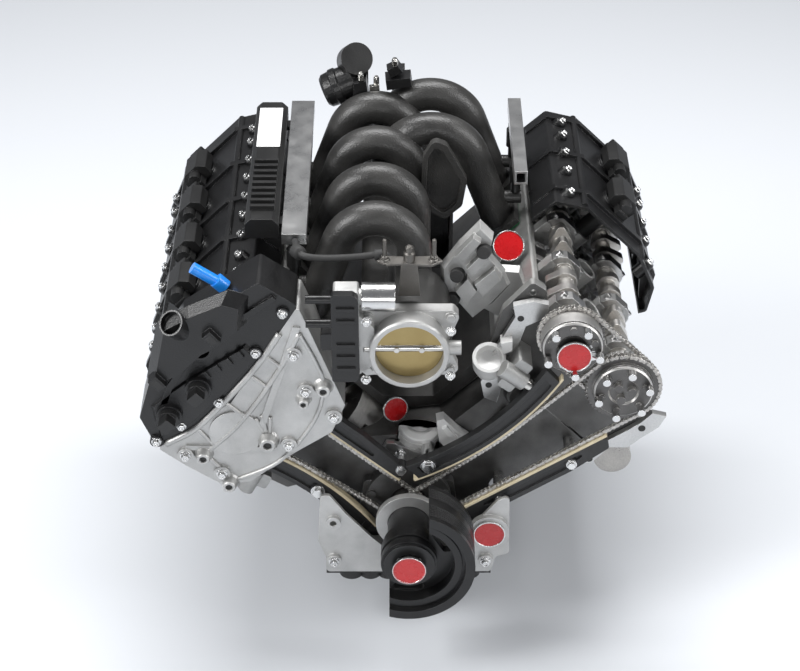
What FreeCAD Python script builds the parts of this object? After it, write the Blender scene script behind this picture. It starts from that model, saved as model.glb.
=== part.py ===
import FreeCAD, Part

import math
import os
import re

from FreeCAD import Placement, Rotation, Vector

# Cut-away 90 degree V8 engine, millimetres.
# +Z is up, +Y points to the rear, the front of the engine faces -Y.  The origin is the centre of the
# crankshaft's rear flange face, on the crankshaft's axis.
# "left" is the bank on the +X side and "right" the bank on the -X side, as seen from the driver's seat.

doc = FreeCAD.newDocument("engine")
sheet = doc.addObject("Spreadsheet::Sheet", "sizes")

DRIVING_SIZES = (
    ("bore", 94.0, "cylinder bore"),
    ("stroke", 93.0, "piston stroke"),
    ("rod_length", 150.7, "connecting rod, centre to centre"),
    ("bore_spacing", 100.0, "between cylinders of one bank"),
    ("bank_offset", 20.0, "left bank sits this far behind the right bank"),
    ("first_bore", 62.0, "front face of the block to the first bore of the right bank"),
    ("deck_height", 227.0, "crank axis to the head joint along a bore"),
    ("block_length", 452.0, "block, front face to rear face"),
    ("flange_reach", 12.0, "crank flange face behind the block"),
    ("bank_angle", 45.0, "bank to vertical"),
    ("main_radius", 33.5, "main journal"),
    ("pin_radius", 26.5, "crankpin"),
    ("bulkhead", 22.0, "thickness of a main bearing wall"),
    ("skirt_depth", 62.0, "block skirt below the crank axis"),
    ("head_height", 92.0, "cylinder head along the bore"),
    ("cam_height", 343.7, "cam axis from the crank axis, along a bore"),
    ("cam_spacing", 96.8, "between the two cams of a bank"),
    ("cam_base", 16.0, "base circle radius of a cam lobe"),
    ("cam_lift", 10.5, "lift of a cam lobe"),
    ("lobe_spread", 35.0, "between the two lobes of one cylinder"),
    ("chain_pitch", 6.35, "pitch of the timing chains"),
    ("chain_width", 8.0, "width of a timing chain"),
    ("crank_teeth", 24.0, "teeth of the crank sprocket"),
    ("chain_bank_step", 14.0, "right bank's chain runs this far behind the left bank's"),
    ("phaser_radius", 40.0, "cam phaser"),
    ("damper_radius", 86.7, "crank damper"),
    ("damper_width", 72.0, "crank damper along the axis"),
    ("throttle_bore", 87.0, "throttle body bore"),
    ("throttle_height", 286.0, "throttle axis above the crank axis"),
    ("running_gap", 0.3, "between moving pieces"),
    ("shaft_gap", 0.05, "radial clearance of a running fit"),
    ("bolt_radius", 4.0, "common fastener shank"),
    ("sump_depth", 190.0, "sump floor below the crank axis"),
)

for row, (alias, value, note) in enumerate(DRIVING_SIZES, start=1):
    sheet.set("A%d" % row, note)
    sheet.set("B%d" % row, "%g" % value)
    sheet.setAlias("B%d" % row, alias)
doc.recompute()

ALIAS = re.compile(r"\b(%s)\b" % "|".join(alias for alias, _, _ in DRIVING_SIZES))
parts = {}


def size(alias):
    return float(sheet.get(alias))


bore = size("bore")
block_length = size("block_length")
front = -(block_length + size("flange_reach"))
deck = size("deck_height")
tilt = size("bank_angle")
gap = size("running_gap")
fit = size("shaft_gap")
cam_high = size("cam_height")
cam_side = size("cam_spacing") / 2
crank_throw = size("stroke") / 2
cylinders = range(4)
CAM_NAMES = {-1: "intake", 1: "exhaust"}
BANK_NAMES = {-1: "right", 1: "left"}


# ---------------------------------------------------------------- helpers

def bind(thing, **rules):
    """Bind properties of an object to rules written with the sheet's aliases."""
    for name, rule in rules.items():
        thing.setExpression(name, ALIAS.sub(r"sizes.\1", str(rule)))
    return thing


def at(x=0.0, y=0.0, z=0.0, turn=0.0, axis=(0, 1, 0)):
    return Placement(Vector(x, y, z), Rotation(Vector(*axis), turn))


def bank_place(side, along=0.0):
    """Frame of a bank: local z runs up the bores, local x * side runs outwards, local y runs rearwards."""
    return at(0, along, 0, side * tilt)


def box(name, length, width, height, place):
    return bind_placed("Part::Box", name, place, Length=length, Width=width, Height=height)


def bind_placed(kind, name, place, **rules):
    thing = bind(doc.addObject(kind, name), **rules)
    thing.Placement = place
    return thing


ALONG_Y = Rotation(Vector(1, 0, 0), -90)
ALONG_X = Rotation(Vector(0, 1, 0), 90)
UPRIGHT = Rotation()


def drum(name, radius, length, base, along=ALONG_Y):
    """Cylinder with its first face's centre at base."""
    return bind_placed("Part::Cylinder", name, Placement(base, along), Radius=radius, Height=length)


def union(name, pieces):
    thing = doc.addObject("Part::MultiFuse", name)
    thing.Shapes = pieces
    thing.Refine = True
    return thing


def minus(name, base, tool):
    thing = doc.addObject("Part::Cut", name)
    thing.Base = base
    thing.Tool = tool
    return thing


def group(name, pieces):
    thing = doc.addObject("Part::Compound", name)
    thing.Links = pieces
    return thing


def keep(thing, label):
    """Make an object a sub-part of its own."""
    thing.Label = label
    parts[label] = thing
    return thing


def shaped(label, shape, place=None):
    """Sub-part whose shape is worked out by Part's own functions."""
    thing = doc.addObject("Part::Feature", label + "_shape")
    thing.Shape = shape
    if place is not None:
        thing.Placement = place.multiply(thing.Placement)
    return keep(thing, label)


def rounded_outline(points, radius=0.0):
    """Closed outline of lines, with an arc of the given radius at every corner; a third number in a
    point is that corner's own radius."""
    corners = []
    count = len(points)
    for index, point in enumerate(points):
        here = Vector(point[0], point[1], 0)
        reach = point[2] if len(point) > 2 else radius
        before = Vector(*points[index - 1][:2], 0) - here
        after = Vector(*points[(index + 1) % count][:2], 0) - here
        before_length = before.Length
        after_length = after.Length
        before.normalize()
        after.normalize()
        half = before.getAngle(after) / 2
        if reach <= 0 or half > math.radians(89):
            corners.append((here, here, here))
            continue
        trim = min(reach / math.tan(half), 0.45 * before_length, 0.45 * after_length)
        true_radius = trim * math.tan(half)
        middle = before + after
        middle.normalize()
        bulge = true_radius / math.sin(half) - true_radius
        corners.append((here + before * trim, here + middle * bulge, here + after * trim))
    lines = []
    for index, (start, mid, end) in enumerate(corners):
        following = corners[(index + 1) % count][0]
        if (end - start).Length > 1e-6:
            lines.append(Part.Arc(start, mid, end))
        if (following - end).Length > 1e-6:
            lines.append(Part.LineSegment(end, following))
    return lines


def face_of(points, radius=0.0, holes=()):
    """Flat face in the x-z plane; a hole is (x, z, radius)."""
    wire = Part.Wire([line.toShape() for line in rounded_outline(points, radius)])
    wires = [wire]
    for x, z, hole_radius in holes:
        wires.append(Part.Wire(Part.makeCircle(hole_radius, Vector(x, z, 0))))
    face = Part.Face(wires[0])
    for inner in wires[1:]:
        face = face.cut(Part.Face(inner))
    face.rotate(Vector(), Vector(1, 0, 0), 90)
    return face


def slab(points, start, length, radius=0.0, holes=()):
    """Plate drawn in the x-z plane, from y = start, rearwards over its length."""
    solid = face_of(points, radius, holes).extrude(Vector(0, length, 0))
    solid.translate(Vector(0, start, 0))
    return solid


def rod(x, z, start, length, radius):
    """Round bar along y."""
    return Part.makeCylinder(radius, length, Vector(x, start, z), Vector(0, 1, 0))


def bar(base, direction, length, radius):
    return Part.makeCylinder(radius, length, base, direction)


def block(x0, x1, y0, y1, z0, z1):
    return Part.makeBox(x1 - x0, y1 - y0, z1 - z0, Vector(x0, y0, z0))


def fused(shapes):
    return shapes[0].multiFuse(shapes[1:]).removeSplitter()


def turned(profile, axis_base=Vector(), axis=Vector(0, 1, 0), sweep=360.0):
    """Solid of revolution of (radius, y) points about the y axis."""
    wire = Part.makePolygon([Vector(r, y, 0) for r, y in profile] + [Vector(profile[0][0], profile[0][1], 0)])
    return Part.Face(wire).revolve(axis_base, axis, sweep)


def body_with_sketch(name, plane, lines):
    """PartDesign body with one sketch on one of its own origin planes."""
    body = doc.addObject("PartDesign::Body", name)
    sketch = body.newObject("Sketcher::SketchObject", name + "_outline")
    flat = [feature for feature in body.Origin.OriginFeatures if feature.Role == plane]
    sketch.AttachmentSupport = [(flat[0], "")]
    sketch.MapMode = "FlatFace"
    sketch.addGeometry(lines, False)
    return body, sketch


def padded(name, lines, length):
    """PartDesign body: an outline in the x-z plane, padded rearwards."""
    body, sketch = body_with_sketch(name, "XZ_Plane", lines)
    pad = body.newObject("PartDesign::Pad", name + "_pad")
    pad.Profile = sketch
    pad.Reversed = True
    bind(pad, Length=length)
    return body


def revolved(name, profile):
    """PartDesign body: a half section of (radius, y) points turned about the y axis."""
    lines = rounded_outline([(radius, along) for radius, along in profile])
    body, sketch = body_with_sketch(name, "XY_Plane", lines)
    turn = body.newObject("PartDesign::Revolution", name + "_turn")
    turn.Profile = sketch
    turn.ReferenceAxis = (sketch, ["V_Axis"])
    turn.Angle = 360
    return body


def circle(x, z, radius):
    return Part.Circle(Vector(x, z, 0), Vector(0, 0, 1), radius)


def plate_body(name, points, start, length, radius=0.0, holes=()):
    """PartDesign body of a plate drawn in the x-z plane, from y = start rearwards; a hole is (x, z, radius)."""
    lines = rounded_outline(points, radius) + [circle(*hole) for hole in holes]
    body = padded(name, lines, length)
    body.Placement = at(0, start, 0)
    return body


def solid_box(name, x0, x1, y0, y1, z0, z1):
    """Box between two corners."""
    return box(name, x1 - x0, y1 - y0, z1 - z0, at(x0, y0, z0))


def bore_station(side, cylinder):
    """Distance behind the block's front face of a cylinder's axis."""
    lag = size("bank_offset") if side > 0 else 0.0
    return size("first_bore") + lag + cylinder * size("bore_spacing")


def bolt(x, z, head_face, reach, head_radius=6.5, shank_radius=None):
    """Hexagon bolt along +y: its head stands ahead of head_face, its shank reaches behind it."""
    shank = size("bolt_radius") if shank_radius is None else shank_radius
    points = []
    for corner in range(6):
        turn = math.radians(60 * corner)
        points.append((x + head_radius * math.cos(turn), z + head_radius * math.sin(turn)))
    head = slab(points, head_face - head_radius, head_radius)
    washer = rod(x, z, head_face - 1.6, 1.6, head_radius * 1.3)
    return fused([head, washer, rod(x, z, head_face - 1, reach + 1, shank)])


# ---------------------------------------------------------------- engine block

crank_room = crank_throw + 38.0      # radius swept by the crank's webs and rod ends
bore_foot = 70.0                     # crank axis to the lower end of a bore
valley_half = 60.0                   # bore axis to the valley wall of a bank
bulkhead = size("bulkhead")
skirt = size("skirt_depth")
rail_half = 104.0                    # half width of the pan rail
cap_half = 58.0                      # half width of a main cap
cap_depth = 50.0


def bank_xz(side, up, out):
    """Point of the x-z plane from its distances along the bore and outwards."""
    lean = math.radians(tilt)
    return (side * (up * math.sin(lean) + out * math.cos(lean)), up * math.cos(lean) - out * math.sin(lean))


def main_station(index):
    """Front face of a main bearing wall, behind the block's front face."""
    mid = 22.0 + index * size("bore_spacing")
    return mid - bulkhead / 2


def block_outline():
    half = [
        bank_xz(1, deck, -valley_half),
        bank_xz(1, deck, valley_half),
        bank_xz(1, 118.0, valley_half),
        (rail_half, 4.0),
        (rail_half, -skirt),
    ]
    mirrored = [(-x, z) for x, z in reversed(half)]
    return [(-34.0, 118.0)] + [(34.0, 118.0)] + half + mirrored


# The display window in the front wall shows the first piston of the right bank.
WINDOW = ((-150, 222), (-168, 150), (-112, 102), (-70, 92), (-20, 96), (44, 104), (60, 118), (112, 168),
          (96, 240))
window_depth = 60.0


def build_block():
    y0 = front
    solid = slab(block_outline(), y0, block_length, 6.0)
    for side in (-1, 1):
        direction = Vector(side * math.sin(math.radians(tilt)), 0, math.cos(math.radians(tilt)))
        for cylinder in cylinders:
            base = Vector(0, y0 + bore_station(side, cylinder), 0) + direction * bore_foot
            solid = solid.cut(Part.makeCylinder(bore / 2, deck, base, direction))
    for index in range(4):
        start = y0 + main_station(index) + bulkhead
        length = size("bore_spacing") - bulkhead
        room = rod(0, 0, start, length, crank_room)
        below = block(-crank_room, crank_room, start, start + length, -skirt - 1, 0)
        solid = solid.cut(room.fuse(below))
    front_room = block(-40, 40, y0 - 1, y0 + main_station(0), -skirt - 1, 30)
    rear_start = y0 + main_station(4) + bulkhead
    rear_room = block(-crank_room, crank_room, rear_start, 0, -skirt - 1, 60)
    solid = solid.cut(front_room).cut(rear_room)
    for index in range(5):
        start = y0 + main_station(index)
        solid = solid.cut(block(-cap_half, cap_half, start - 1, start + bulkhead + 1, -skirt - 1, 0))
    solid = solid.cut(rod(0, 0, y0 - 1, block_length + 2, size("main_radius") + fit + 2.5))
    return solid.cut(slab(WINDOW, y0 - 1, window_depth, 6.0))


# Front flange that carries the front cover, in a bank's frame: distance outwards, distance along the bores.
FLANGE_OF_BLOCK = ((50, 90), (112, 122), (138, 226.8), (50, 226.8))
flange_thick = 14.0


def build_block_part():
    shape = build_block()
    ribs = []
    for side in (-1, 1):
        for index in range(5):
            along = front + main_station(index)
            points = [
                (side * (rail_half - 2), -skirt + 2),
                (side * (rail_half + 16), -skirt + 2),
                (side * (rail_half + 16), -skirt + 14),
                (side * (rail_half - 2), 40),
            ]
            ribs.append(slab(points, along, bulkhead * 0.6))
        flange = [(side * out, up) for out, up in FLANGE_OF_BLOCK]
        plate = slab(flange, front, flange_thick, 5.0)
        plate.Placement = bank_place(side).multiply(plate.Placement)
        ribs.append(plate)
        pad_spots = ((150.0, -20.0), (150.0, 20.0), (230.0, -20.0), (230.0, 20.0))
        for along, z in pad_spots:
            base = Vector(side * (rail_half - 4), front + along, z)
            ribs.append(bar(base, Vector(side, 0, 0), 22.0, 13.0))
    shape = shape.multiFuse(ribs).removeSplitter()
    holes = []
    for side in (-1, 1):
        for along in (150.0, 230.0):
            for z in (-20.0, 20.0):
                base = Vector(side * (rail_half + 30), front + along, z)
                holes.append(bar(base, Vector(-side, 0, 0), 28.0, 5.0))
    for x, z in BELL_HOLES:
        holes.append(bar(Vector(x, front + block_length + 1, z), Vector(0, -1, 0), 25.0, 5.0))
    return shape.cut(Part.makeCompound(holes))


BELL_HOLES = ((-88.0, -40.0), (88.0, -40.0), (-88.0, 100.0), (88.0, 100.0))

shaped("engine_block", build_block_part())


CAP_OUTLINE = ((-cap_half + gap, 0.0), (cap_half - gap, 0.0), (cap_half - gap, -cap_depth + 12), (34,
                                                                                                  -cap_depth),
               (-34, -cap_depth), (-cap_half + gap, -cap_depth + 12))
shell_outer = "main_radius + shaft_gap + 2.5"


def main_cap(index):
    """Bearing cap with the heads of its two bolts."""
    name = "main_cap_%d" % index
    start = front + main_station(index)
    plate = plate_body(name + "_plate", CAP_OUTLINE, start, "bulkhead", 3.0)
    seat = drum(name + "_seat", shell_outer, "bulkhead + 2", Vector(0, start - 1, 0))
    heads = []
    for side, x in ((-1, -46.0), (1, 46.0)):
        base = Vector(x, start + bulkhead / 2, -cap_depth - 4)
        heads.append(drum("%s_bolt_%d" % (name, side + 1), 8.5, 16.0, base, UPRIGHT))
    return union(name, [minus(name + "_bored", plate, seat)] + heads)


def bearing_shell(index):
    name = "bearing_shell_%d" % index
    start = front + main_station(index)
    outer = drum(name + "_outside", shell_outer, "bulkhead - 2", Vector(0, start + 1, 0))
    inner = drum(name + "_inside", "main_radius + shaft_gap", "bulkhead", Vector(0, start, 0))
    return minus(name, outer, inner)


keep(group("main_bearing_set", [make(index) for index in range(5) for make in (main_cap, bearing_shell)]),
     "main_bearings")


# ---------------------------------------------------------------- crankshaft and damper

# The crank rests with its first pin pointing away from the right bank, so that bank's first piston is down.
crank_rest = 180.0 - tilt
PIN_SIGNS = (1, -1, 1, -1)           # flat-plane crank: the pins stand alternately on either side
pin_radius = size("pin_radius")
main_radius = size("main_radius")
rod_width = 19.4
web = 17.5
pin_length = 2 * rod_width + 2.2
nose_radius = 21.0
chain_plane = -48.0                  # left bank's primary chain, ahead of the block's front face
chain_half = size("chain_width") / 2
damper_front = -164.0
crank_bolts = 8
flange_radius = 45.0
bolt_circle = 38.0


def pin_centre(cylinder):
    """Crankpin centre in the x-z plane, with the crank at rest."""
    angle = math.radians(crank_rest)
    reach = crank_throw * PIN_SIGNS[cylinder]
    return Vector(reach * math.sin(angle), 0, reach * math.cos(angle))


def crank_web(cylinder, start):
    """Web around a pin, with its counterweight on the far side of the axis."""
    weight_radius = crank_throw + 28.0
    swing = [(0.0, crank_throw + 31.0), (29.0, crank_throw + 8.0), (38.0, 4.0)]
    fan = [(weight_radius * math.sin(math.radians(a)), -weight_radius * math.cos(math.radians(a)))
           for a in (68, 45, 22, 0)]
    half = swing + fan
    points = half + [(-x, z) for x, z in reversed(half[1:-1])]
    plate = slab(points, start, web, 7.0)
    turn = crank_rest if PIN_SIGNS[cylinder] > 0 else crank_rest + 180
    plate.rotate(Vector(), Vector(0, 1, 0), turn)
    return plate


def build_crankshaft():
    pieces = []
    for index in range(5):
        start = front + main_station(index) - 1.2
        pieces.append(rod(0, 0, start, bulkhead + 2.4, main_radius))
    for cylinder in cylinders:
        middle = front + main_station(cylinder) + bulkhead / 2 + size("bore_spacing") / 2
        centre = pin_centre(cylinder)
        pieces.append(rod(centre.x, centre.z, middle - pin_length / 2 - 1, pin_length + 2, pin_radius))
        pieces.append(crank_web(cylinder, middle - pin_length / 2 - web))
        pieces.append(crank_web(cylinder, middle + pin_length / 2))
    nose_end = front + damper_front + 34.0
    pieces.append(rod(0, 0, nose_end, front + main_station(0) - nose_end, nose_radius))
    flange_start = front + main_station(4) + bulkhead
    pieces.append(rod(0, 0, flange_start, 12.0, main_radius))
    pieces.append(rod(0, 0, flange_start + 10.0, -flange_start - 10.0, flange_radius))
    shaft = fused(pieces)
    holes = [rod(0, 0, -20.0, 21.0, 12.0)]
    for index in range(crank_bolts):
        turn = 2 * math.pi * index / crank_bolts
        holes.append(rod(bolt_circle * math.cos(turn), bolt_circle * math.sin(turn), -22.0, 23.0, 5.0))
    holes.append(rod(0, 0, nose_end - 1, 41.0, 7.0))
    return shaft.cut(Part.makeCompound(holes))


shaped("crankshaft", build_crankshaft())


def sprocket_lines(teeth, pitch, bore_radius):
    """Toothed outline of a chain wheel with its bore."""
    pitch_radius = pitch * teeth / (2 * math.pi)
    root = pitch_radius - 1.7
    tip = pitch_radius + 0.9
    step = 2 * math.pi / teeth
    points = []
    for tooth in range(teeth):
        for share, radius in ((-0.42, root), (-0.14, tip), (0.14, tip), (0.42, root)):
            angle = step * (tooth + share)
            points.append((radius * math.cos(angle), radius * math.sin(angle)))
    return rounded_outline(points) + [circle(0, 0, bore_radius)]


def toothed_wheel(teeth, start, width, bore_radius):
    lines = sprocket_lines(teeth, size("chain_pitch"), bore_radius)
    shapes = [line.toShape() for line in lines]
    face = Part.Face(Part.Wire(shapes[:-1])).cut(Part.Face(Part.Wire([shapes[-1]])))
    face.rotate(Vector(), Vector(1, 0, 0), 90)
    wheel = face.extrude(Vector(0, width, 0))
    wheel.translate(Vector(0, start, 0))
    return wheel


crank_teeth = int(size("crank_teeth"))
tooth_width = size("chain_width") - 3.0
second_plane = chain_plane + size("chain_bank_step")


def build_crank_sprocket():
    """Two rows of teeth on one sleeve, one row for each bank's chain."""
    rows = []
    for name, plane in (("first_teeth", chain_plane), ("second_teeth", second_plane)):
        row = padded(name, sprocket_lines(crank_teeth, size("chain_pitch"), nose_radius + fit),
                     "chain_width - 3")
        row.Placement = at(0, front + plane - tooth_width / 2, 0)
        rows.append(row)
    sleeve_start = front + chain_plane - 7.0
    sleeve_end = front + second_plane + 24.0
    sleeve = revolved("sprocket_sleeve", [(nose_radius + fit, sleeve_start), (nose_radius + 1.4,
                                                                              sleeve_start),
                                          (nose_radius + 1.4, sleeve_end), (nose_radius + fit, sleeve_end)])
    return union("sprocket_fused", [sleeve] + rows)


keep(build_crank_sprocket(), "crank_sprocket")

damper_radius = size("damper_radius")
hub_radius = 37.0
rubber_radius = 71.0
ring_inner = rubber_radius + 0.15


damper_start = front + damper_front
damper_width = size("damper_width")


def cut_sector(name, thing):
    """The display cut takes the upper left part of the damper's outer ring and web away."""
    start = damper_start - 1
    angles = [90 + 180 * step / 8 for step in range(9)]
    points = [(26.0, 0.0), (26.0, 120.0)]
    points += [(130 * math.cos(math.radians(a)), 130 * math.sin(math.radians(a))) for a in angles[:-1]]
    points += [(-26.0, -130.0), (-26.0, -30.0)]
    sector = plate_body(name + "_sector", points, start, "damper_width + 2")
    keeper = drum(name + "_keeper", hub_radius, "damper_width + 2", Vector(0, start, 0))
    return minus(name, thing, minus(name + "_cut", sector, keeper))


def build_damper_hub():
    """Hub sleeve, three spokes and the inner ring that carries the rubber, turned from one section."""
    y0 = damper_start
    sleeve_end = front + chain_plane - 7.0
    barrel = hub_radius - 3
    rim_inner = rubber_radius - 11.0
    rim_outer = rubber_radius - 1.2
    section = [(19.0, y0 + 6), (barrel, y0 + 6), (barrel, y0 + 10), (hub_radius, y0 + 10), (hub_radius,
                                                                                            y0 + 20),
               (barrel, y0 + 20), (barrel, y0 + 26), (rim_inner, y0 + 26), (rim_inner, y0 + 6), (rim_outer,
                                                                                                 y0 + 6),
               (rim_outer, y0 + 66), (rim_inner, y0 + 66), (rim_inner, y0 + 38), (hub_radius, y0 + 38),
               (hub_radius, y0 + 40), (barrel, y0 + 40), (barrel, y0 + 52), (28.0, y0 + 52), (28.0,
                                                                                              sleeve_end),
               (nose_radius + fit, sleeve_end), (nose_radius + fit, y0 + 18), (19.0, y0 + 18)]
    wheel = revolved("damper_wheel", section)
    windows = []
    for index in range(3):
        points = [(-17.0, 43.0), (17.0, 43.0), (23.0, 56.0), (-23.0, 56.0)]
        opening = plate_body("damper_window_%d" % index, points, 0.0, 30.0, 5.0)
        opening.Placement = at(0, y0 + 20, 0, 60 + 120 * index)
        windows.append(opening)
    pierced = minus("damper_pierced", wheel, union("damper_windows", windows))
    return cut_sector("damper_hub_shape", pierced)


def build_damper_ring():
    """Outer ring with the belt's rib grooves, on its rubber sleeve."""
    y0 = damper_start
    width = damper_width
    profile = [(ring_inner + 3.0, y0), (damper_radius, y0)]
    groove_depth = 2.6
    for start, count in ((y0 + 8.0, 6), (y0 + 46.0, 5)):
        for groove in range(count):
            along = start + groove * 3.9
            profile.append((damper_radius, along))
            profile.append((damper_radius - groove_depth, along + 1.3))
            profile.append((damper_radius, along + 2.6))
    profile += [(damper_radius, y0 + width), (ring_inner + 3.0, y0 + width)]
    return cut_sector("damper_ring_iron", revolved("damper_ring_turned", profile))


def build_damper_rubber():
    y0 = damper_start + 8.0
    inner = rubber_radius - 1.2
    outer = ring_inner + 3.0
    sleeve = revolved("damper_rubber_turned", [(inner, y0), (outer, y0), (outer, y0 + 54), (inner, y0 + 54)])
    return cut_sector("damper_ring_rubber", sleeve)


keep(build_damper_hub(), "damper_hub")
keep(group("damper_ring_set", [build_damper_ring(), build_damper_rubber()]), "damper_ring")

disc_radius = 21.5


def disc_body(name, radius, thickness, post_radius, reach):
    """Round display disc with a raised rim on its post, its back face at the origin and facing -y."""
    lip = radius - 1.6
    sunk = -thickness + 0.8
    return revolved(name, [(0, sunk), (lip, sunk), (lip, -thickness), (radius, -thickness), (radius, 0),
                           (post_radius, 0), (post_radius, reach), (0, reach)])


def build_crank_bolt():
    """Crank bolt with its washer, and the display disc whose post stands on the bolt's head."""
    y0 = damper_start
    screw = revolved("crank_screw", [(0, y0 + 8), (14.0, y0 + 8), (14.0, y0 + 17.5), (18.6, y0 + 17.5),
                                     (18.6, y0 + 24.4), (6.9, y0 + 24.4), (6.9, y0 + 64), (0, y0 + 64)])
    disc = disc_body("crank_disc", disc_radius + 0.5, 4.0, 6.0, 8.8)
    disc.Placement = at(0, y0 - 1.0, 0)
    return group("crank_bolt_set", [screw, disc])


keep(build_crank_bolt(), "crank_bolt")


# ---------------------------------------------------------------- pistons and rods

crown = 29.8
skirt_drop = 22.0
wrist_radius = 11.0
valve_pocket = 17.9                  # clearance cut in the crown for a valve's head
pocket_side = 18.6                   # bore axis to the middle of such a cut
rod_length = size("rod_length")
BANK_ROWS = {"first": (0, 2), "second": (1, 3)}


def wrist_height(side, cylinder):
    """Height of the wrist pin along the bore, with the crank at rest."""
    centre = pin_centre(cylinder)
    lean = math.radians(tilt)
    up = side * centre.x * math.sin(lean) + centre.z * math.cos(lean)
    out = side * centre.x * math.cos(lean) - centre.z * math.sin(lean)
    return up + math.sqrt(rod_length ** 2 - out ** 2)


def piston_solids():
    """Piston and its three rings, upright, with the wrist pin's axis through the origin along y."""
    radius = bore / 2 - gap
    grooves = ((23.5, 1.6), (18.0, 1.6), (12.0, 2.6))
    points = [(0, -skirt_drop), (radius, -skirt_drop)]
    for top, width in reversed(grooves):
        points += [(radius, top - width), (radius - 3.4, top - width), (radius - 3.4, top), (radius, top)]
    points += [(radius, crown), (0, crown)]
    wire = Part.makePolygon([Vector(x, 0, z) for x, z in points] + [Vector(points[0][0], 0, points[0][1])])
    piston = Part.Face(wire).revolve(Vector(), Vector(0, 0, 1), 360)
    cavity = Part.makeCylinder(radius - 8.0, skirt_drop + 19.5, Vector(0, 0, -skirt_drop - 1))
    bosses = []
    for start in (-36.0, rod_width / 2 + 1.2):
        bosses.append(rod(0, 0, start, 36.0 - rod_width / 2 - 1.2, 16.5))
    piston = piston.cut(cavity.cut(Part.makeCompound(bosses)))
    for sign in (-1, 1):
        reliefs = block(-60, 60, *sorted((sign * 38.0, sign * 60.0)), -skirt_drop - 1, 6.0)
        piston = piston.cut(reliefs)
        for along in (-lobe_half, lobe_half):
            pocket = Part.makeCylinder(valve_pocket, 6.0, Vector(sign * pocket_side, along, crown - 2.5))
            piston = piston.cut(pocket)
    piston = piston.fuse(rod(0, 0, -34.0, 68.0, wrist_radius)).removeSplitter()
    solids = [piston]
    for top, width in grooves:
        ring = Part.makeCylinder(radius + 0.12, width - 0.2, Vector(0, 0, top - width + 0.1))
        inner = Part.makeCylinder(radius - 3.2, width, Vector(0, 0, top - width))
        solids.append(ring.cut(inner))
    return solids


def rod_solid(small_end, big_end, centre_y):
    """Connecting rod between two points of the x-z plane."""
    run = small_end - big_end
    length = run.Length
    half = rod_width / 2
    ring_outer = pin_radius + 10.0
    start = -half
    pieces = [rod(0, 0, start, rod_width, ring_outer), rod(0, length, start, rod_width, wrist_radius + 6.0)]
    pieces.append(slab([(-17, 24), (17, 24), (10.5, length - 12), (-10.5, length - 12)], start + 1.5,
                       rod_width - 3))
    for sign in (-1, 1):
        pieces.append(block(sign * 31.0 - 6.5, sign * 31.0 + 6.5, start + 1, -start - 1, -24.0, 22.0))
    shape = fused(pieces)
    for offset in (start, half - 4.5):
        web_cut = slab([(-10, 42), (10, 42), (5.5, length - 22), (-5.5, length - 22)], offset - 0.01, 4.51,
                       3.0)
        shape = shape.cut(web_cut)
    shape = shape.cut(rod(0, 0, start - 1, rod_width + 2, pin_radius + fit))
    shape = shape.cut(rod(0, length, start - 1, rod_width + 2, wrist_radius + fit))
    turn = math.degrees(math.atan2(run.x, run.z))
    shape.rotate(Vector(), Vector(0, 1, 0), turn)
    shape.translate(Vector(big_end.x, centre_y, big_end.z))
    return shape


lobe_half = size("lobe_spread") / 2

for side, bank in BANK_NAMES.items():
    for row, members in BANK_ROWS.items():
        pistons = []
        rods = []
        for cylinder in members:
            along = front + bore_station(side, cylinder)
            up = wrist_height(side, cylinder)
            x, z = bank_xz(side, up, 0)
            place = Placement(Vector(x, along, z), Rotation(Vector(0, 1, 0), side * tilt))
            for solid in piston_solids():
                solid.Placement = place.multiply(solid.Placement)
                pistons.append(solid)
            rods.append(rod_solid(Vector(x, 0, z), pin_centre(cylinder), along))
        shaped("pistons_%s_%s" % (bank, row), Part.makeCompound(pistons))
        shaped("rods_%s_%s" % (bank, row), Part.makeCompound(rods))


# ---------------------------------------------------------------- cylinder heads

# Sections below are drawn in a bank's frame: x is the distance outwards, z the distance along the bores.
gasket = 1.2
head_foot = deck + gasket
head_top = head_foot + size("head_height")
trough_floor = head_foot + 60.0
tower = 18.0
journal_radius = 13.9
plug_tube = 17.0
valve_lean = 12.0
valve_foot = Vector(19.0, 0, head_foot + 5.0)
stem_radius = 3.0
spring_radius = 12.0
valve_tip = 86.0                     # valve, from its head to its tip
port_radius = 19.0
head_half = 84.0                     # bore axis to the head's side faces
roller_radius = 8.5
lobe_nose = 6.0
lobe_width = 14.0


def outward(points, side):
    """Mirror a section drawn for the left bank so that it faces outwards on either bank."""
    return [(side * point[0],) + tuple(point[1:]) for point in points]


def tower_station(side, index):
    """Middle of a cam bearing, behind the block's front face."""
    return bore_station(side, 0) - size("bore_spacing") / 2 + index * size("bore_spacing")


def valve_spots(side, row):
    """Model y of the eight valves of one cam; row is -1 for the intake side and 1 for the exhaust side."""
    return [front + bore_station(side, cylinder) + spread
            for cylinder in cylinders for spread in (-lobe_half, lobe_half)]


def valve_direction(side, row):
    lean = math.radians(valve_lean)
    return Vector(side * row * math.sin(lean), 0, math.cos(lean))


def valve_start(side, row, along):
    return Vector(side * row * valve_foot.x, along, valve_foot.z)


FLANGES_OF_HEAD = (
    ((70, head_foot + 2), (136, head_foot + 2), (142, 300), (132, 326), (104, 326), (80, 306)),
    ((-70, head_foot + 4), (-96, 246), (-124, 296), (-128, 352), (-104, 356), (-88, 322), (-80, 306)),
)
FLANGE_HOLES = ((128.0, 244.0), (132.0, 304.0), (-112.0, 306.0), (-116.0, 342.0), (-88.0, 252.0))


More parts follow.
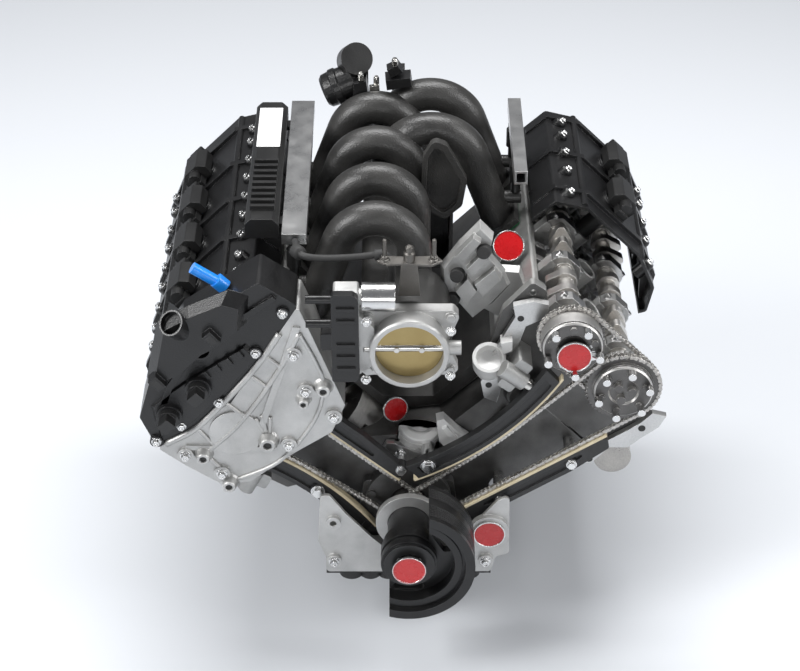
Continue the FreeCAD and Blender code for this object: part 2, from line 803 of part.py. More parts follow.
def build_head(side):
    section = outward([(-74, head_foot), (74, head_foot), (head_half, head_foot + 18), (head_half, head_top),
                       (-head_half, head_top), (-head_half, head_foot + 18)], side)
    solid = slab(section, front, block_length, 4.0)
    trough = outward([(-74, trough_floor), (74, trough_floor), (77, head_top + 2), (-77, head_top + 2)], side)
    solid = solid.cut(slab(trough, front + 10, block_length - 20, 6.0))
    extra = []
    for index in range(5):
        start = front + tower_station(side, index) - tower / 2
        if start < front + 1:
            start = front + 1
        for row in (-1, 1):
            middle = side * row * cam_side
            extra.append(block(middle - 25, middle + 25, start, start + tower, trough_floor - 2, cam_high))
    for cylinder in cylinders:
        along = front + bore_station(side, cylinder)
        extra.append(Part.makeCylinder(plug_tube, 60, Vector(0, along, trough_floor - 2)))
    for flange in FLANGES_OF_HEAD:
        plate = slab(outward(flange, side), front, flange_thick, 6.0)
        if side < 0:
            plate = plate.cut(block(-200, 200, front - 1, front + 20, head_top - 1.5, 400))
        extra.append(plate)
    solid = fused([solid] + extra)
    holes = [rod(side * x, z, front - 1, flange_thick + 2, 4.6) for x, z in FLANGE_HOLES]
    for row in (-1, 1):
        holes.append(rod(side * row * cam_side, cam_high, front - 1, block_length + 2, journal_radius + fit))
        for along in valve_spots(side, row):
            start = valve_start(side, row, along)
            line = valve_direction(side, row)
            holes.append(bar(start, line, 70.0, stem_radius + gap))
            holes.append(bar(start - line * 20, line, 32.0, 18.2))
    for cylinder in cylinders:
        along = front + bore_station(side, cylinder)
        holes.append(Part.makeCylinder(plug_tube - 3.5, 100, Vector(0, along, head_foot + 24)))
        holes.append(Part.makeCylinder(7.0, 60, Vector(0, along, head_foot - 1)))
        intake = Vector(-side * 0.85, 0, 0.52)
        holes.append(bar(Vector(-side * 45, along, head_foot + 22), intake, 80.0, port_radius))
        holes.append(bar(Vector(side * 42, along, head_foot + 36), Vector(side, 0, 0.05), 80.0,
                         port_radius - 3))
    return solid.cut(Part.makeCompound(holes))


for side, bank in BANK_NAMES.items():
    shaped("cylinder_head_" + bank, build_head(side), bank_place(side))


def build_gasket(side, bank):
    """Thin sheet between block and head, with a hole for each bore."""
    name = "head_gasket_" + bank
    sheet_metal = box(name + "_sheet", 120, "block_length", gasket, at(-60, front, deck))
    holes = []
    for cylinder in cylinders:
        base = Vector(0, front + bore_station(side, cylinder), deck - 2)
        holes.append(drum("%s_hole_%d" % (name, cylinder), "bore / 2 + 0.5", 10, base, UPRIGHT))
    pierced = minus(name, sheet_metal, union(name + "_holes", holes))
    pierced.Placement = bank_place(side)
    return pierced


keep(group("head_gasket_set", [build_gasket(side, bank) for side, bank in BANK_NAMES.items()]),
     "head_gaskets")


def build_cam_caps(side):
    caps = []
    for index in range(5):
        start = front + tower_station(side, index) - tower / 2
        if start < front + 1:
            start = front + 1
        for row in (-1, 1):
            middle = side * row * cam_side
            cap = slab([(middle - 25, cam_high + 0.02), (middle + 25, cam_high + 0.02), (middle + 22,
                                                                                         cam_high + 10),
                        (middle + 12, cam_high + 19), (middle - 12, cam_high + 19), (middle - 22,
                                                                                     cam_high + 10)],
                       start, tower - 1, 2.0)
            cap = cap.cut(rod(middle, cam_high, start - 1, tower + 2, journal_radius + fit))
            heads = []
            for reach in (-19.5, 19.5):
                heads.append(Part.makeCylinder(4.6, 8, Vector(middle + reach, start + tower / 2,
                                                              cam_high + 7)))
            cap = fused([cap] + heads)
            cap.Placement = bank_place(side)
            caps.append(cap)
    return caps


shaped("cam_caps", Part.makeCompound(build_cam_caps(-1) + build_cam_caps(1)))


# ---------------------------------------------------------------- camshafts and valve gear

cam_base = size("cam_base")
nose_reach = cam_base + size("cam_lift") - lobe_nose
flank = math.degrees(math.acos((cam_base - lobe_nose) / nose_reach))
LOBE_PHASES = {-1: (45.0, 135.0, 315.0, 225.0), 1: (225.0, 45.0, 135.0, 315.0)}
cam_front = -58.0


def lobe(start, phase):
    """Cam lobe about the y axis: base circle, two straight flanks and the nose, its nose at the given
    angle from straight down."""
    def spot(radius, angle, reach=0.0):
        turn = math.radians(angle)
        return Vector(radius * math.sin(turn), start, -reach - radius * math.cos(turn))
    edges = [
        Part.Arc(spot(cam_base, flank), spot(cam_base, 180), spot(cam_base, -flank)).toShape(),
        Part.makeLine(spot(cam_base, -flank), spot(lobe_nose, -flank, nose_reach)),
        Part.Arc(spot(lobe_nose, -flank, nose_reach), spot(lobe_nose, 0, nose_reach),
                 spot(lobe_nose, flank, nose_reach)).toShape(),
        Part.makeLine(spot(lobe_nose, flank, nose_reach), spot(cam_base, flank)),
    ]
    solid = Part.Face(Part.Wire(edges)).extrude(Vector(0, lobe_width, 0))
    solid.rotate(Vector(), Vector(0, 1, 0), -phase)
    return solid


def build_camshaft(side, row):
    pieces = [rod(0, 0, front + cam_front + 26, block_length - cam_front - 30, 11.0)]
    for index in range(5):
        start = front + tower_station(side, index) - tower / 2 - 1
        pieces.append(rod(0, 0, max(start, front + 0.5), tower + 2, journal_radius))
    for cylinder in cylinders:
        for spread in (-lobe_half, lobe_half):
            start = front + bore_station(side, cylinder) + spread - lobe_width / 2
            pieces.append(lobe(start, side * row * LOBE_PHASES[row][cylinder]))
    return fused(pieces)


for side, bank in BANK_NAMES.items():
    for row, kind in CAM_NAMES.items():
        x, z = bank_xz(side, cam_high, row * cam_side)
        shaped("camshaft_%s_%s" % (bank, kind), build_camshaft(side, row), at(x, 0, z, side * tilt))


def roller_drop(phase):
    """Cam axis to roller centre, straight down, for a roller riding on the lobe at this phase."""
    near = abs((phase + 180) % 360 - 180)
    if near >= flank:
        return cam_base + roller_radius + gap
    return (cam_base + roller_radius + gap) / math.cos(math.radians(flank - near)) + 0.1


def build_valve_gear(side, row):
    """Valves, springs with their caps, and the rocker fingers of one camshaft."""
    solids = []
    line = valve_direction(side, row)
    turn = math.degrees(math.atan2(line.x, line.z))
    for index, along in enumerate(valve_spots(side, row)):
        phase = LOBE_PHASES[row][index // 2]
        drop = roller_drop(phase)
        opened = drop - cam_base - roller_radius - gap
        start = valve_start(side, row, along)
        valve = turned([(0, 0), (17.2, 0), (17.2, 2.0), (stem_radius, 12.0), (stem_radius, valve_tip), (0,
                                                                                                        valve_tip)])
        valve.rotate(Vector(), Vector(1, 0, 0), 90)
        valve.rotate(Vector(), Vector(0, 1, 0), turn)
        valve.translate(start - line * (2.0 + opened))
        spring_start = (trough_floor + 1.6 + 0.2 * spring_radius - start.z) / line.z
        spring_end = valve_tip - 9.0 - opened
        spring = turned([(stem_radius + 4, 0), (spring_radius, 0), (spring_radius,
                                                                    spring_end - spring_start - 3),
                         (spring_radius + 1.2, spring_end - spring_start - 3),
                         (spring_radius + 1.2, spring_end - spring_start),
                         (stem_radius + 0.1, spring_end - spring_start),
                         (stem_radius + 0.1, spring_end - spring_start - 3),
                         (stem_radius + 4, spring_end - spring_start - 3)])
        spring.rotate(Vector(), Vector(1, 0, 0), 90)
        spring.rotate(Vector(), Vector(0, 1, 0), turn)
        spring.translate(start + line * spring_start)
        tip = start + line * (valve_tip - 2.0 - opened)
        middle = side * row * cam_side
        pivot = Vector(side * row * (cam_side + 17.0), 0, cam_high - 31.0)
        roller_z = cam_high - drop
        out = side * row
        arm = slab([(pivot.x + out * 7, pivot.z - 4), (pivot.x + out * 7, pivot.z + 5),
                    (middle + out * 9.5, roller_z + 3), (middle - out * 9.5, roller_z + 2),
                    (tip.x - out * 6, tip.z + 5.6), (tip.x - out * 6, tip.z + gap + 1.9),
                    (tip.x + out * 5, tip.z + gap + 1.9), (middle, roller_z - 7)], along - 6, 12.0, 1.2)
        arm = arm.cut(rod(middle, roller_z, along - 4.4, 8.8, roller_radius + 0.6))
        roller = rod(middle, roller_z, along - 4, 8, roller_radius)
        pin = rod(middle, roller_z, along - 5.9, 11.8, 2.5)
        solids += [valve, spring, fused([arm, pin, roller])]
    return solids


for side, bank in BANK_NAMES.items():
    for row, kind in CAM_NAMES.items():
        gear = Part.makeCompound(build_valve_gear(side, row))
        shaped("valve_gear_%s_%s" % (bank, kind), gear, bank_place(side))


# ---------------------------------------------------------------- cam phasers

phaser_radius = size("phaser_radius")
CAM_TEETH = 48
LINK_TEETH = 42
link_plane = 18.0                    # secondary chain, behind the bank's primary chain
chain_gap = 1.2                      # chain's outer plates stand this far above the pitch line
chain_rise = 3.2


def bank_plane(side):
    """Middle of a bank's primary chain, in the model's y."""
    step = 0.0 if side > 0 else size("chain_bank_step")
    return front + chain_plane + step


def build_phaser(side, row):
    plane = bank_plane(side)
    face = plane - 12.0
    tail = plane + link_plane + 6.0
    pieces = [rod(0, 0, face + 4, tail - face - 4, phaser_radius)]
    pieces.append(turned([(0, face + 4.5), (phaser_radius - 1.5, face + 4.5), (phaser_radius - 1.5,
                                                                               face + 2.0),
                          (phaser_radius - 3.5, face), (20.0, face), (18.0, face + 2.5), (0, face + 2.5)]))
    if row > 0:
        wheel = toothed_wheel(CAM_TEETH, plane - tooth_width / 2, tooth_width, phaser_radius - 4)
        pieces.append(wheel)
    link = toothed_wheel(LINK_TEETH, plane + link_plane - tooth_width / 2, tooth_width, phaser_radius - 4)
    pieces.append(link)
    count = 5 if row < 0 else 6
    for index in range(count):
        turn = 2 * math.pi * (index + 0.25) / count
        pieces.append(rod(29.0 * math.cos(turn), 29.0 * math.sin(turn), face - 3.5, 8.0, 4.4))
    if row > 0:
        for index in range(3):
            turn = 2 * math.pi * (index + 0.1) / 3
            pieces.append(rod(11.0 * math.cos(turn), 11.0 * math.sin(turn), face - 5.0, 9.0, 6.0))
    solid = fused(pieces)
    solid = solid.cut(rod(0, 0, front + cam_front + 26 - 0.2, 200, 11.0 + 0.02))
    if side > 0 and row < 0:
        disc = disc_body("phaser_disc", disc_radius + 1.0, 3.0, 5.0, 7.0)
        disc.Placement = at(2.0, face - 4.0, -9.0)
        doc.recompute()
        return Part.makeCompound([solid.cut(rod(2.0, -9.0, face - 4.2, 7.4, 5.0)), disc.Shape])
    return solid


for side, bank in BANK_NAMES.items():
    for row, kind in CAM_NAMES.items():
        x, z = bank_xz(side, cam_high, row * cam_side)
        shaped("phaser_%s_%s" % (bank, kind), build_phaser(side, row), at(x, 0, z))


# ---------------------------------------------------------------- chains

def pitch_radius_of(teeth):
    return size("chain_pitch") * teeth / (2 * math.pi)


def belt_wire(circles, offset):
    """Closed line round circles taken anticlockwise as seen from the front.  A circle is (x, z, radius);
    a negative radius is a shoe that presses on the line from outside."""
    stops = []
    count = len(circles)
    for index in range(count):
        x0, z0, r0 = circles[index]
        x1, z1, r1 = circles[(index + 1) % count]
        r0 += offset
        r1 += offset
        run = math.hypot(x1 - x0, z1 - z0)
        heading = math.atan2(z1 - z0, x1 - x0)
        normal = heading + math.acos((r1 - r0) / run)
        n = (math.cos(normal), math.sin(normal))
        stops.append(((x0 - r0 * n[0], z0 - r0 * n[1]), (x1 - r1 * n[0], z1 - r1 * n[1])))
    edges = []
    for index in range(count):
        start, end = stops[index]
        edges.append(Part.makeLine(Vector(start[0], 0, start[1]), Vector(end[0], 0, end[1])))
        x, z, radius = circles[(index + 1) % count]
        radius += offset
        leave = stops[(index + 1) % count][0]
        a0 = math.atan2(end[1] - z, end[0] - x)
        a1 = math.atan2(leave[1] - z, leave[0] - x)
        turn = (a1 - a0) % (2 * math.pi) if radius > 0 else -((a0 - a1) % (2 * math.pi))
        middle = a0 + turn / 2
        reach = abs(radius)
        mid = Vector(x + reach * math.cos(middle), 0, z + reach * math.sin(middle))
        edges.append(Part.Arc(Vector(end[0], 0, end[1]), mid, Vector(leave[0], 0, leave[1])).toShape())
    return Part.Wire(edges)


def band(circles, inner, outer, start, width):
    ring = Part.Face(belt_wire(circles, outer)).cut(Part.Face(belt_wire(circles, inner)))
    solid = ring.extrude(Vector(0, width, 0))
    solid.translate(Vector(0, start, 0))
    return solid


plate_drop = 1.5                     # side plates reach this far inside the pitch line


def chain(circles, plane):
    """Outline of a toothed chain: side plates either side of the wheel's teeth, joined above them."""
    plate = (size("chain_width") - tooth_width) / 2 - 0.3
    top = band(circles, chain_gap, chain_rise, plane - chain_half, 2 * chain_half)
    starts = (plane - chain_half, plane + chain_half - plate)
    sides = [band(circles, -plate_drop, chain_rise, start, plate) for start in starts]
    return fused([top] + sides)


shoe_radius = 420.0
shoe_sag = 9.0
crank_pitch = pitch_radius_of(crank_teeth)
cam_pitch = pitch_radius_of(CAM_TEETH)
link_pitch = pitch_radius_of(LINK_TEETH)


def exhaust_centre(side):
    return bank_xz(side, cam_high, cam_side)


def return_run(side):
    """Pitch line of the chain's slack run before the shoe bends it, from the cam to the crank."""
    x, z = exhaust_centre(side)
    run = math.hypot(x, z)
    heading = math.atan2(-z, -x)
    normal = heading + math.acos((crank_pitch - cam_pitch) / run)
    n = Vector(math.cos(normal), 0, math.sin(normal))
    return Vector(x, 0, z) - n * cam_pitch, Vector() - n * crank_pitch, n


def shoe_centre(side):
    start, end, inward = return_run(side)
    return (start + end) * 0.5 - inward * (shoe_radius - shoe_sag)


def primary_circles(side):
    x, z = exhaust_centre(side)
    shoe = shoe_centre(side)
    return [(0.0, 0.0, crank_pitch), (x, z, cam_pitch), (shoe.x, shoe.z, -shoe_radius)]


def link_circles(side):
    exhaust = exhaust_centre(side)
    intake = bank_xz(side, cam_high, -cam_side)
    return [(exhaust[0], exhaust[1], link_pitch), (intake[0], intake[1], link_pitch)]


for side, bank in BANK_NAMES.items():
    shaped("timing_chain_" + bank, chain(primary_circles(side), bank_plane(side)))
    shaped("cam_chain_" + bank, chain(link_circles(side), bank_plane(side) + link_plane))


# ---------------------------------------------------------------- guides and tensioners

guide_width = 12.0
strip_thick = 3.0
strip_gap = 0.35
arm_thick = 27.0


def arm_sector(side, inner, outer, start, width, first, last):
    """Part of the ring on the shoe's side of the chain, between two shares of the slack run."""
    centre = shoe_centre(side)
    begin, end, inward = return_run(side)
    ring = Part.makeCylinder(outer, width, Vector(centre.x, start, centre.z), Vector(0, 1, 0))
    ring = ring.cut(Part.makeCylinder(inner, width + 2, Vector(centre.x, start - 1, centre.z), Vector(0, 1,
                                                                                                      0)))
    a = begin + (end - begin) * first
    b = begin + (end - begin) * last
    far = -inward * 60
    near = inward * 30
    corners = [a + near, b + near, b + far, a + far]
    wedge = slab([(corner.x, corner.z) for corner in corners], start - 1, width + 2)
    return ring.common(wedge)


def tensioner_pivot(side):
    """Pivot of the tensioner arm, behind the shoe, near its crank end."""
    centre = shoe_centre(side)
    begin, end, inward = return_run(side)
    spot = begin + (end - begin) * (0.80 if side > 0 else 0.66)
    reach = spot - centre
    reach.normalize()
    return centre + reach * (shoe_radius - chain_rise - strip_gap - strip_thick - 14.0)


def build_tensioner_arm(side):
    plane = bank_plane(side)
    start = plane - guide_width / 2
    face = shoe_radius - chain_rise - strip_gap
    last = 0.87 if side > 0 else 0.94
    first = 0.14
    strip = arm_sector(side, face - strip_thick, face, start, guide_width, first, last)
    arm = arm_sector(side, face - arm_thick, face - strip_thick, start - 0.5, guide_width + 1,
                     first + 0.02, last - 0.02)
    groove = arm_sector(side, face - arm_thick + 6, face - strip_thick - 5, start - 2, 5.0, first + 0.05,
                        last - 0.05)
    arm = arm.cut(groove)
    pivot = tensioner_pivot(side)
    arm = arm.fuse(rod(pivot.x, pivot.z, start - 0.5, guide_width + 1, 11.0))
    arm = arm.cut(rod(pivot.x, pivot.z, start - 3, guide_width + 6, 5.0 + fit))
    return Part.makeCompound([arm.removeSplitter(), strip])


def guide_frame(side):
    """Start, end and outward direction of the chain's tight run, from the crank to the cam."""
    x, z = exhaust_centre(side)
    run = math.hypot(x, z)
    heading = math.atan2(z, x)
    normal = heading + math.acos((cam_pitch - crank_pitch) / run)
    n = Vector(math.cos(normal), 0, math.sin(normal))
    return Vector() - n * crank_pitch, Vector(x, 0, z) - n * cam_pitch, -n


def build_fixed_guide(side):
    plane = bank_plane(side)
    start = plane - guide_width / 2
    begin, end, out = guide_frame(side)
    span = end - begin
    face = chain_rise + strip_gap

    def spot(share, reach):
        point = begin + span * share + out * reach
        return (point.x, point.z)
    strip = slab([spot(0.12, face), spot(0.12, face + strip_thick), spot(0.84, face + strip_thick),
                  spot(0.84, face)],
                 start, guide_width)
    deep = 26.0
    body = slab([spot(0.12, face + strip_thick), spot(0.84, face + strip_thick), spot(0.82, face + 20),
                 spot(0.64, face + deep), spot(0.36, face + deep), spot(0.14,
                                                                        face + 20)], start - 0.5, guide_width + 1, 5.0)
    groove = slab([spot(0.20, face + strip_thick + 5), spot(0.78, face + strip_thick + 5), spot(0.62,
                                                                                                face + deep - 6),
                   spot(0.38, face + deep - 6)], start - 2, 5.0, 3.0)
    body = body.cut(groove)
    bolts = []
    for share in ((0.34, 0.66) if side > 0 else (0.15, 0.79)):
        x, z = spot(share, face + 16)
        lug = rod(x, z, start - 0.5, guide_width + 1, 9.0)
        body = body.fuse(lug)
        screw = bolt(x, z, start - 0.6, front - start + 0.5, 5.5, 3.5)
        body = body.cut(rod(x, z, start - 5, guide_width + 10, 3.6))
        post = rod(x, z, start + guide_width + 0.6, front - start - guide_width - 0.7, 8.0)
        bolts.append(screw.fuse(post))
    return [body.removeSplitter(), strip] + bolts


def build_pivot_bolt(side):
    pivot = tensioner_pivot(side)
    start = bank_plane(side) - guide_width / 2
    screw = bolt(pivot.x, pivot.z, start - 0.9, front - start + 0.8, 7.5, 5.0)
    post = rod(pivot.x, pivot.z, start + guide_width + 0.9, front - start - guide_width - 1.0, 9.0)
    return screw.fuse(post)


def plunger_axis(side):
    """Tip and direction of the tensioner's plunger, which pushes on the back of the arm."""
    centre = shoe_centre(side)
    begin, end, inward = return_run(side)
    spot = begin + (end - begin) * (0.24 if side > 0 else 0.40)
    reach = spot - centre
    reach.normalize()
    tip = centre + reach * (shoe_radius - chain_rise - strip_gap - arm_thick - 0.35)
    return tip, -reach


def build_tensioner(side):
    tip, away = plunger_axis(side)
    plane = bank_plane(side)
    y_mid = plane + 2.0
    base = Vector(tip.x, y_mid, tip.z) + away * 10.0
    barrel = bar(base, away, 36.0, 12.0)
    foot_x = Vector(away.z, 0, -away.x)
    middle = Vector(tip.x, y_mid, tip.z) + away * 24.0
    corners = [middle + foot_x * a + away * b for a, b in ((-25, -10), (25, -10), (25, 12), (-25, 12))]
    foot = slab([(c.x, c.z) for c in corners], y_mid, front - y_mid, 4.0)
    body = fused([barrel, foot])
    for sign in (-1, 1):
        spot = middle + foot_x * sign * 19.0
        body = body.cut(rod(spot.x, spot.z, y_mid - 12, 8.0, 6.0))
    return body.cut(bar(base - away, away, 32.0, 8.0 + fit))


def build_plunger(side, bank):
    tip, away = plunger_axis(side)
    base = Vector(tip.x, bank_plane(side) + 2.0, tip.z)
    return drum("plunger_%s_pin" % bank, 8.0, 28.0, base, Rotation(Vector(0, 0, 1), away))


guide_solids = []
for side, bank in BANK_NAMES.items():
    guide_solids += build_fixed_guide(side) + [build_pivot_bolt(side)]
    shaped("tensioner_arm_" + bank, build_tensioner_arm(side))
    keep(build_plunger(side, bank), "tensioner_plunger_" + bank)
shaped("chain_guides", Part.makeCompound(guide_solids))
shaped("tensioner_bodies", Part.makeCompound([build_tensioner(side) for side in BANK_NAMES]))


# ---------------------------------------------------------------- front covers, pump and pan

cover_face = -70.0                   # outside of the front covers, ahead of the block's front face
cover_wall = 5.0
SEAM = ((-148, 346), (20, 304), (143, 322))      # joint of front cover and cam cover, in a bank's frame
COVER_EDGE = ((138, 277), (127, 220), (98, 199), (21, 190), (-37, 179), (-80, 197))


def shrunk(points, wall):
    """The same outline drawn in by a wall's thickness, as a face in the x-z plane."""
    wire = Part.Wire([line.toShape() for line in rounded_outline(points, 0.0)])
    face = Part.Face(Part.Face(wire).makeOffset2D(-wall).Wires[0])
    face.rotate(Vector(), Vector(1, 0, 0), 90)
    return face


def shell_open_back(points, start, length, wall, radius=4.0):
    """Shallow box with its open side to the rear."""
    outer = slab(points, start, length, radius)
    inner = shrunk(points, wall).extrude(Vector(0, length, 0))
    inner.translate(Vector(0, start + wall, 0))
    return outer.cut(inner)


def build_front_cover():
    side = -1
    outline = outward(list(SEAM) + list(COVER_EDGE), side)
    start = front + cover_face
    shell = shell_open_back(outline, start, -cover_face, cover_wall)
    extra = []
    for x, z in ((-92, 300), (-62, 250), (-58, 196), (16, 206), (112, 236), (124, 290)):
        boss = rod(side * x, z, start - 5, 12.0, 11.0)
        extra.append(boss)
    extra.append(rod(side * 52.0, 268.0, start - 3.0, 4.0, 34.0))
    ribs = [slab(outward([(-128, 322), (-122, 330), (58, 236), (52, 230)], side), start - 3, 4.0, 1.0),
            slab(outward([(118, 296), (112, 300), (30, 214), (36, 210)], side), start - 3, 4.0, 1.0)]
    shell = fused([shell] + extra + ribs)
    holes = []
    for x, z in ((-92, 300), (-62, 250), (-58, 196), (16, 206), (112, 236), (124, 290)):
        holes.append(rod(side * x, z, start - 6, 16.0, 4.6))
    slot_top = shrunk(outline, cover_wall).extrude(Vector(0, -cover_face, 0))
    slot_top.translate(Vector(0, start + cover_wall, 30))
    chain_way = outward([(-70, 150), (124, 150), (124, 250), (100, 262), (-40, 240), (-70, 226)], side)
    mouth = slab(chain_way, start + cover_wall, -cover_face + 1)
    return shell.cut(Part.makeCompound(holes)).cut(slot_top).cut(mouth)


shaped("front_cover_right", build_front_cover(), bank_place(-1))

pan_rail = -skirt                    # top of the oil pan's flange
cover_foot = -84.0                   # lower edge of the lower front cover


def build_lower_cover():
    """Two cut-away pieces of the lower front cover, either side of the crank, joined below it."""
    start = front + cover_face
    left_edge = [(-118, 46), (-122, -30), (-112, -58), (-112, cover_foot)]
    right_edge = [(112, cover_foot), (118, -58), (136, -52), (134, 46), (118, 38), (86, -4), (52, -40)]
    inner_edge = [(20, -54), (-22, -52), (-50, -24), (-84, 16), (-106, 48)]
    outline = left_edge + right_edge + inner_edge
    shell = slab(outline, start, -cover_face, 6.0)
    inner = shrunk(outline, cover_wall + 1).extrude(Vector(0, -cover_face, 0))
    inner.translate(Vector(0, start + cover_wall, 0))
    shell = shell.cut(inner)
    rooms = [block(-100, 100, start + cover_wall, front + 1, -74, 60),
             block(99, 140, start + cover_wall, front + 1, 4, 60),
             block(-130, -99, start + cover_wall, front + 1, -34, 60)]
    shell = shell.cut(Part.makeCompound(rooms))
    seal = rod(0, 0, start, 9.0, 44.0).cut(rod(0, 0, start - 1, 11.0, 28.5))
    link = block(-26, 26, start, start + cover_wall, -60, -36)
    link = link.cut(rod(0, 0, start - 1, 11.0, 28.5))
    extra = [seal, link]
    for x, z in ((-101, -62), (-101, 4), (104, -62)):
        extra.append(rod(x, z, start - 6, 10.0, 10.0))
    extra.append(rod(108.0, -12.0, start - 7, 10.0, 27.0))
    shell = fused([shell] + extra)
    return shell.cut(rod(-101, 4, start - 7, 16.0, 4.6))


shaped("front_cover_lower", build_lower_cover())


def build_pump():
    """Ring pump round the crank's nose, with its screws and the pipe down to the sump."""
    start = front - 22.0
    ring = drum("pump_ring", 58.0, 21.5, Vector(0, start, 0))
    flange = plate_body("pump_flange", [(-70, -44), (70, -44), (60, 30), (-60, 30)], start + 8, 13.5, 8.0)
    eye = drum("pump_eye", 24.5, 24.0, Vector(0, start - 1, 0))
    pieces = [minus("pump_bored", union("pump_casting", [ring, flange]), eye)]
    for index, (x, z) in enumerate(((-46, -30), (46, -30), (-50, 14), (50, 14), (0, -49))):
        pieces.append(drum("pump_screw_%d" % index, 5.5, 8.0, Vector(x, start - 4, z)))
    pieces.append(drum("pump_pickup", 11.0, 38.0, Vector(0, start + 8.5, -78.0), UPRIGHT))
    return union("pump_fused", pieces)


keep(build_pump(), "oil_pump")

sump_front = 130.0
sump_back = 438.0
pan_half = 112.0
sump_floor = -size("sump_depth")


def build_pan():
    y0 = front
    wall = 4.0
    flange = block(-pan_half, pan_half, y0, y0 + block_length, pan_rail - 9, pan_rail)
    shallow = slab([(-100, pan_rail - 1), (100, pan_rail - 1), (94, -100), (-94, -100)], y0 + 4,
                   block_length - 12, 8.0)
    deep = slab([(-100, pan_rail - 1), (100, pan_rail - 1), (92, sump_floor), (-92, sump_floor)],
                y0 + sump_front,
                sump_back - sump_front, 12.0)
    solid = fused([flange, shallow, deep])
    rooms = [slab([(-94, pan_rail + 1), (94, pan_rail + 1), (90, -100 + wall), (-90, -100 + wall)], y0 + 10,
                  block_length - 24, 4.0),
             slab([(-94, pan_rail + 1), (94, pan_rail + 1), (87, sump_floor + wall), (-87,
                                                                                      sump_floor + wall)],
                  y0 + sump_front + wall, sump_back - sump_front - 2 * wall, 8.0)]
    solid = solid.cut(rooms[0].fuse(rooms[1]))
    lip = block(-pan_half, pan_half, y0 + cover_face + 4, y0 + 6, cover_foot - 6, cover_foot)
    lobes = []
    for x, reach in ((-78.0, 17.0), (-52.0, 15.0), (-28.0, 14.0), (82.0, 16.0)):
        lobes.append(Part.makeCylinder(reach, 18.0, Vector(x, y0 + cover_face + 5 + reach, cover_foot - 18)))
    lobes.append(block(-94, 96, y0 + cover_face + 20, y0 + 6, -100, cover_foot))
    plug = bar(Vector(60, y0 + sump_back - 2, sump_floor + 26), Vector(0, 1, 0), 8.0, 11.0)
    return fused([solid, lip, plug] + lobes)


shaped("oil_pan", build_pan())


# ---------------------------------------------------------------- cam covers and coils

NOSE_SECTION = ((143, 322), (122, 372), (60, 406), (-17, 426), (-138, 405), (-148, 346), (20, 304))
RAIL_SECTION = ((-head_half, head_top), (-104, 342), (-102, 384), (-62, 408), (44, 408), (98, 386), (120,
                                                                                                     352),
                (108, 330), (head_half, head_top))
cover_skin = 4.0
cover_top = 408.0
cut_station = 196.0                  # the left cam cover is cut off ahead of this


def cover_shell(section, start, length, side, open_front=False):
    points = outward(section, side)
    outer = slab(points, start, length, 6.0)
    inner = shrunk(points, cover_skin).extrude(Vector(0, length, 0))
    below = inner.copy()
    inner.translate(Vector(0, start, 0))
    below.translate(Vector(0, start, -12.0))
    return outer, inner.fuse(below)


def cover_ribs(side, first, last):
    """Raised bands across the cover, between the coils, and a ridge along its outer shoulder."""
    ribs = []
    for index in range(5):
        station = tower_station(side, index)
        if not first < station - 8 or not station + 8 < last:
            continue
        points = outward([(-106, 346), (-104, 388), (-62, 413), (44, 413), (100, 390), (123, 352), (116,
                                                                                                    344), (80, 380),
                          (40, 404), (-58, 404), (-98, 380), (-98, 346)], side)
        ribs.append(slab(points, front + station - 5, 10.0, 3.0))
    for x in (-66.0, 50.0):
        ribs.append(rod(side * x, cover_top - 3, front + first + 4, last - first - 8, 5.0))
    return ribs


def coil_wells(side, first, last):
    return [cylinder for cylinder in cylinders if first < bore_station(side, cylinder) - 20 and
            bore_station(side, cylinder) + 20 < last]


def build_cam_cover(side):
    first = 0.0 if side < 0 else cut_station
    last = block_length
    outer, inner = cover_shell(RAIL_SECTION, front + first, last - first, side)
    back_wall = block(-200, 200, front + last - cover_skin, front + last + 1, 300, 440)
    shell = outer.cut(inner.cut(back_wall))
    pieces = [shell] + cover_ribs(side, first, last)
    if side < 0:
        start = front + cover_face
        nose, room = cover_shell(NOSE_SECTION, start, -cover_face, side)
        front_wall = block(-200, 200, start - 1, start + cover_skin, 300, 440)
        passage = slab(outward([(-84, 330), (-90, 380), (-50, 398), (36, 398), (84, 380), (84, 330)], side),
                       front - 10, 30.0, 4.0)
        nose = nose.cut(room.cut(front_wall))
        pieces.append(nose)
        neck = rod(side * -17.0, 392.0, start - 10, 24.0, 16.0)
        pieces.append(neck)
        for x, z, radius in ((30.0, 352.0, 17.0), (88.0, 350.0, 17.0)):
            pieces.append(rod(side * x, z, start - 12.0, 16.0, radius))
        for x, z in ((-128, 353), (-60, 336), (30, 317), (92, 326), (134, 332)):
            pieces.append(rod(side * x, z, start - 4.0, 14.0, 8.5))
        nose_ridge = slab(outward([(-138, 372), (-20, 392), (56, 374), (112, 346), (114, 352), (58, 382),
                                   (-20, 400),
                                   (-138, 380)], side), start - 5.0, 7.0, 2.0)
        pieces.append(nose_ridge)
    for cylinder in coil_wells(side, first, last):
        along = front + bore_station(side, cylinder)
        pieces.append(Part.makeCylinder(22.0, 12.0, Vector(0, along, cover_top - 8)))
    shape = fused(pieces)
    if side < 0:
        shape = shape.cut(passage.cut(block(-200, 200, front - 20, front + 40, 440, 500)))
        shape = shape.cut(rod(side * -17.0, 392.0, start - 11, 12.0, 12.5))
    wells = [Part.makeCylinder(plug_tube + 1.0, 140.0, Vector(0, front + bore_station(side, cylinder), 300))
             for cylinder in coil_wells(side, first, last)]
    return shape.cut(Part.makeCompound(wells))


for side, bank in BANK_NAMES.items():
    shaped("cam_cover_" + bank, build_cam_cover(side), bank_place(side))


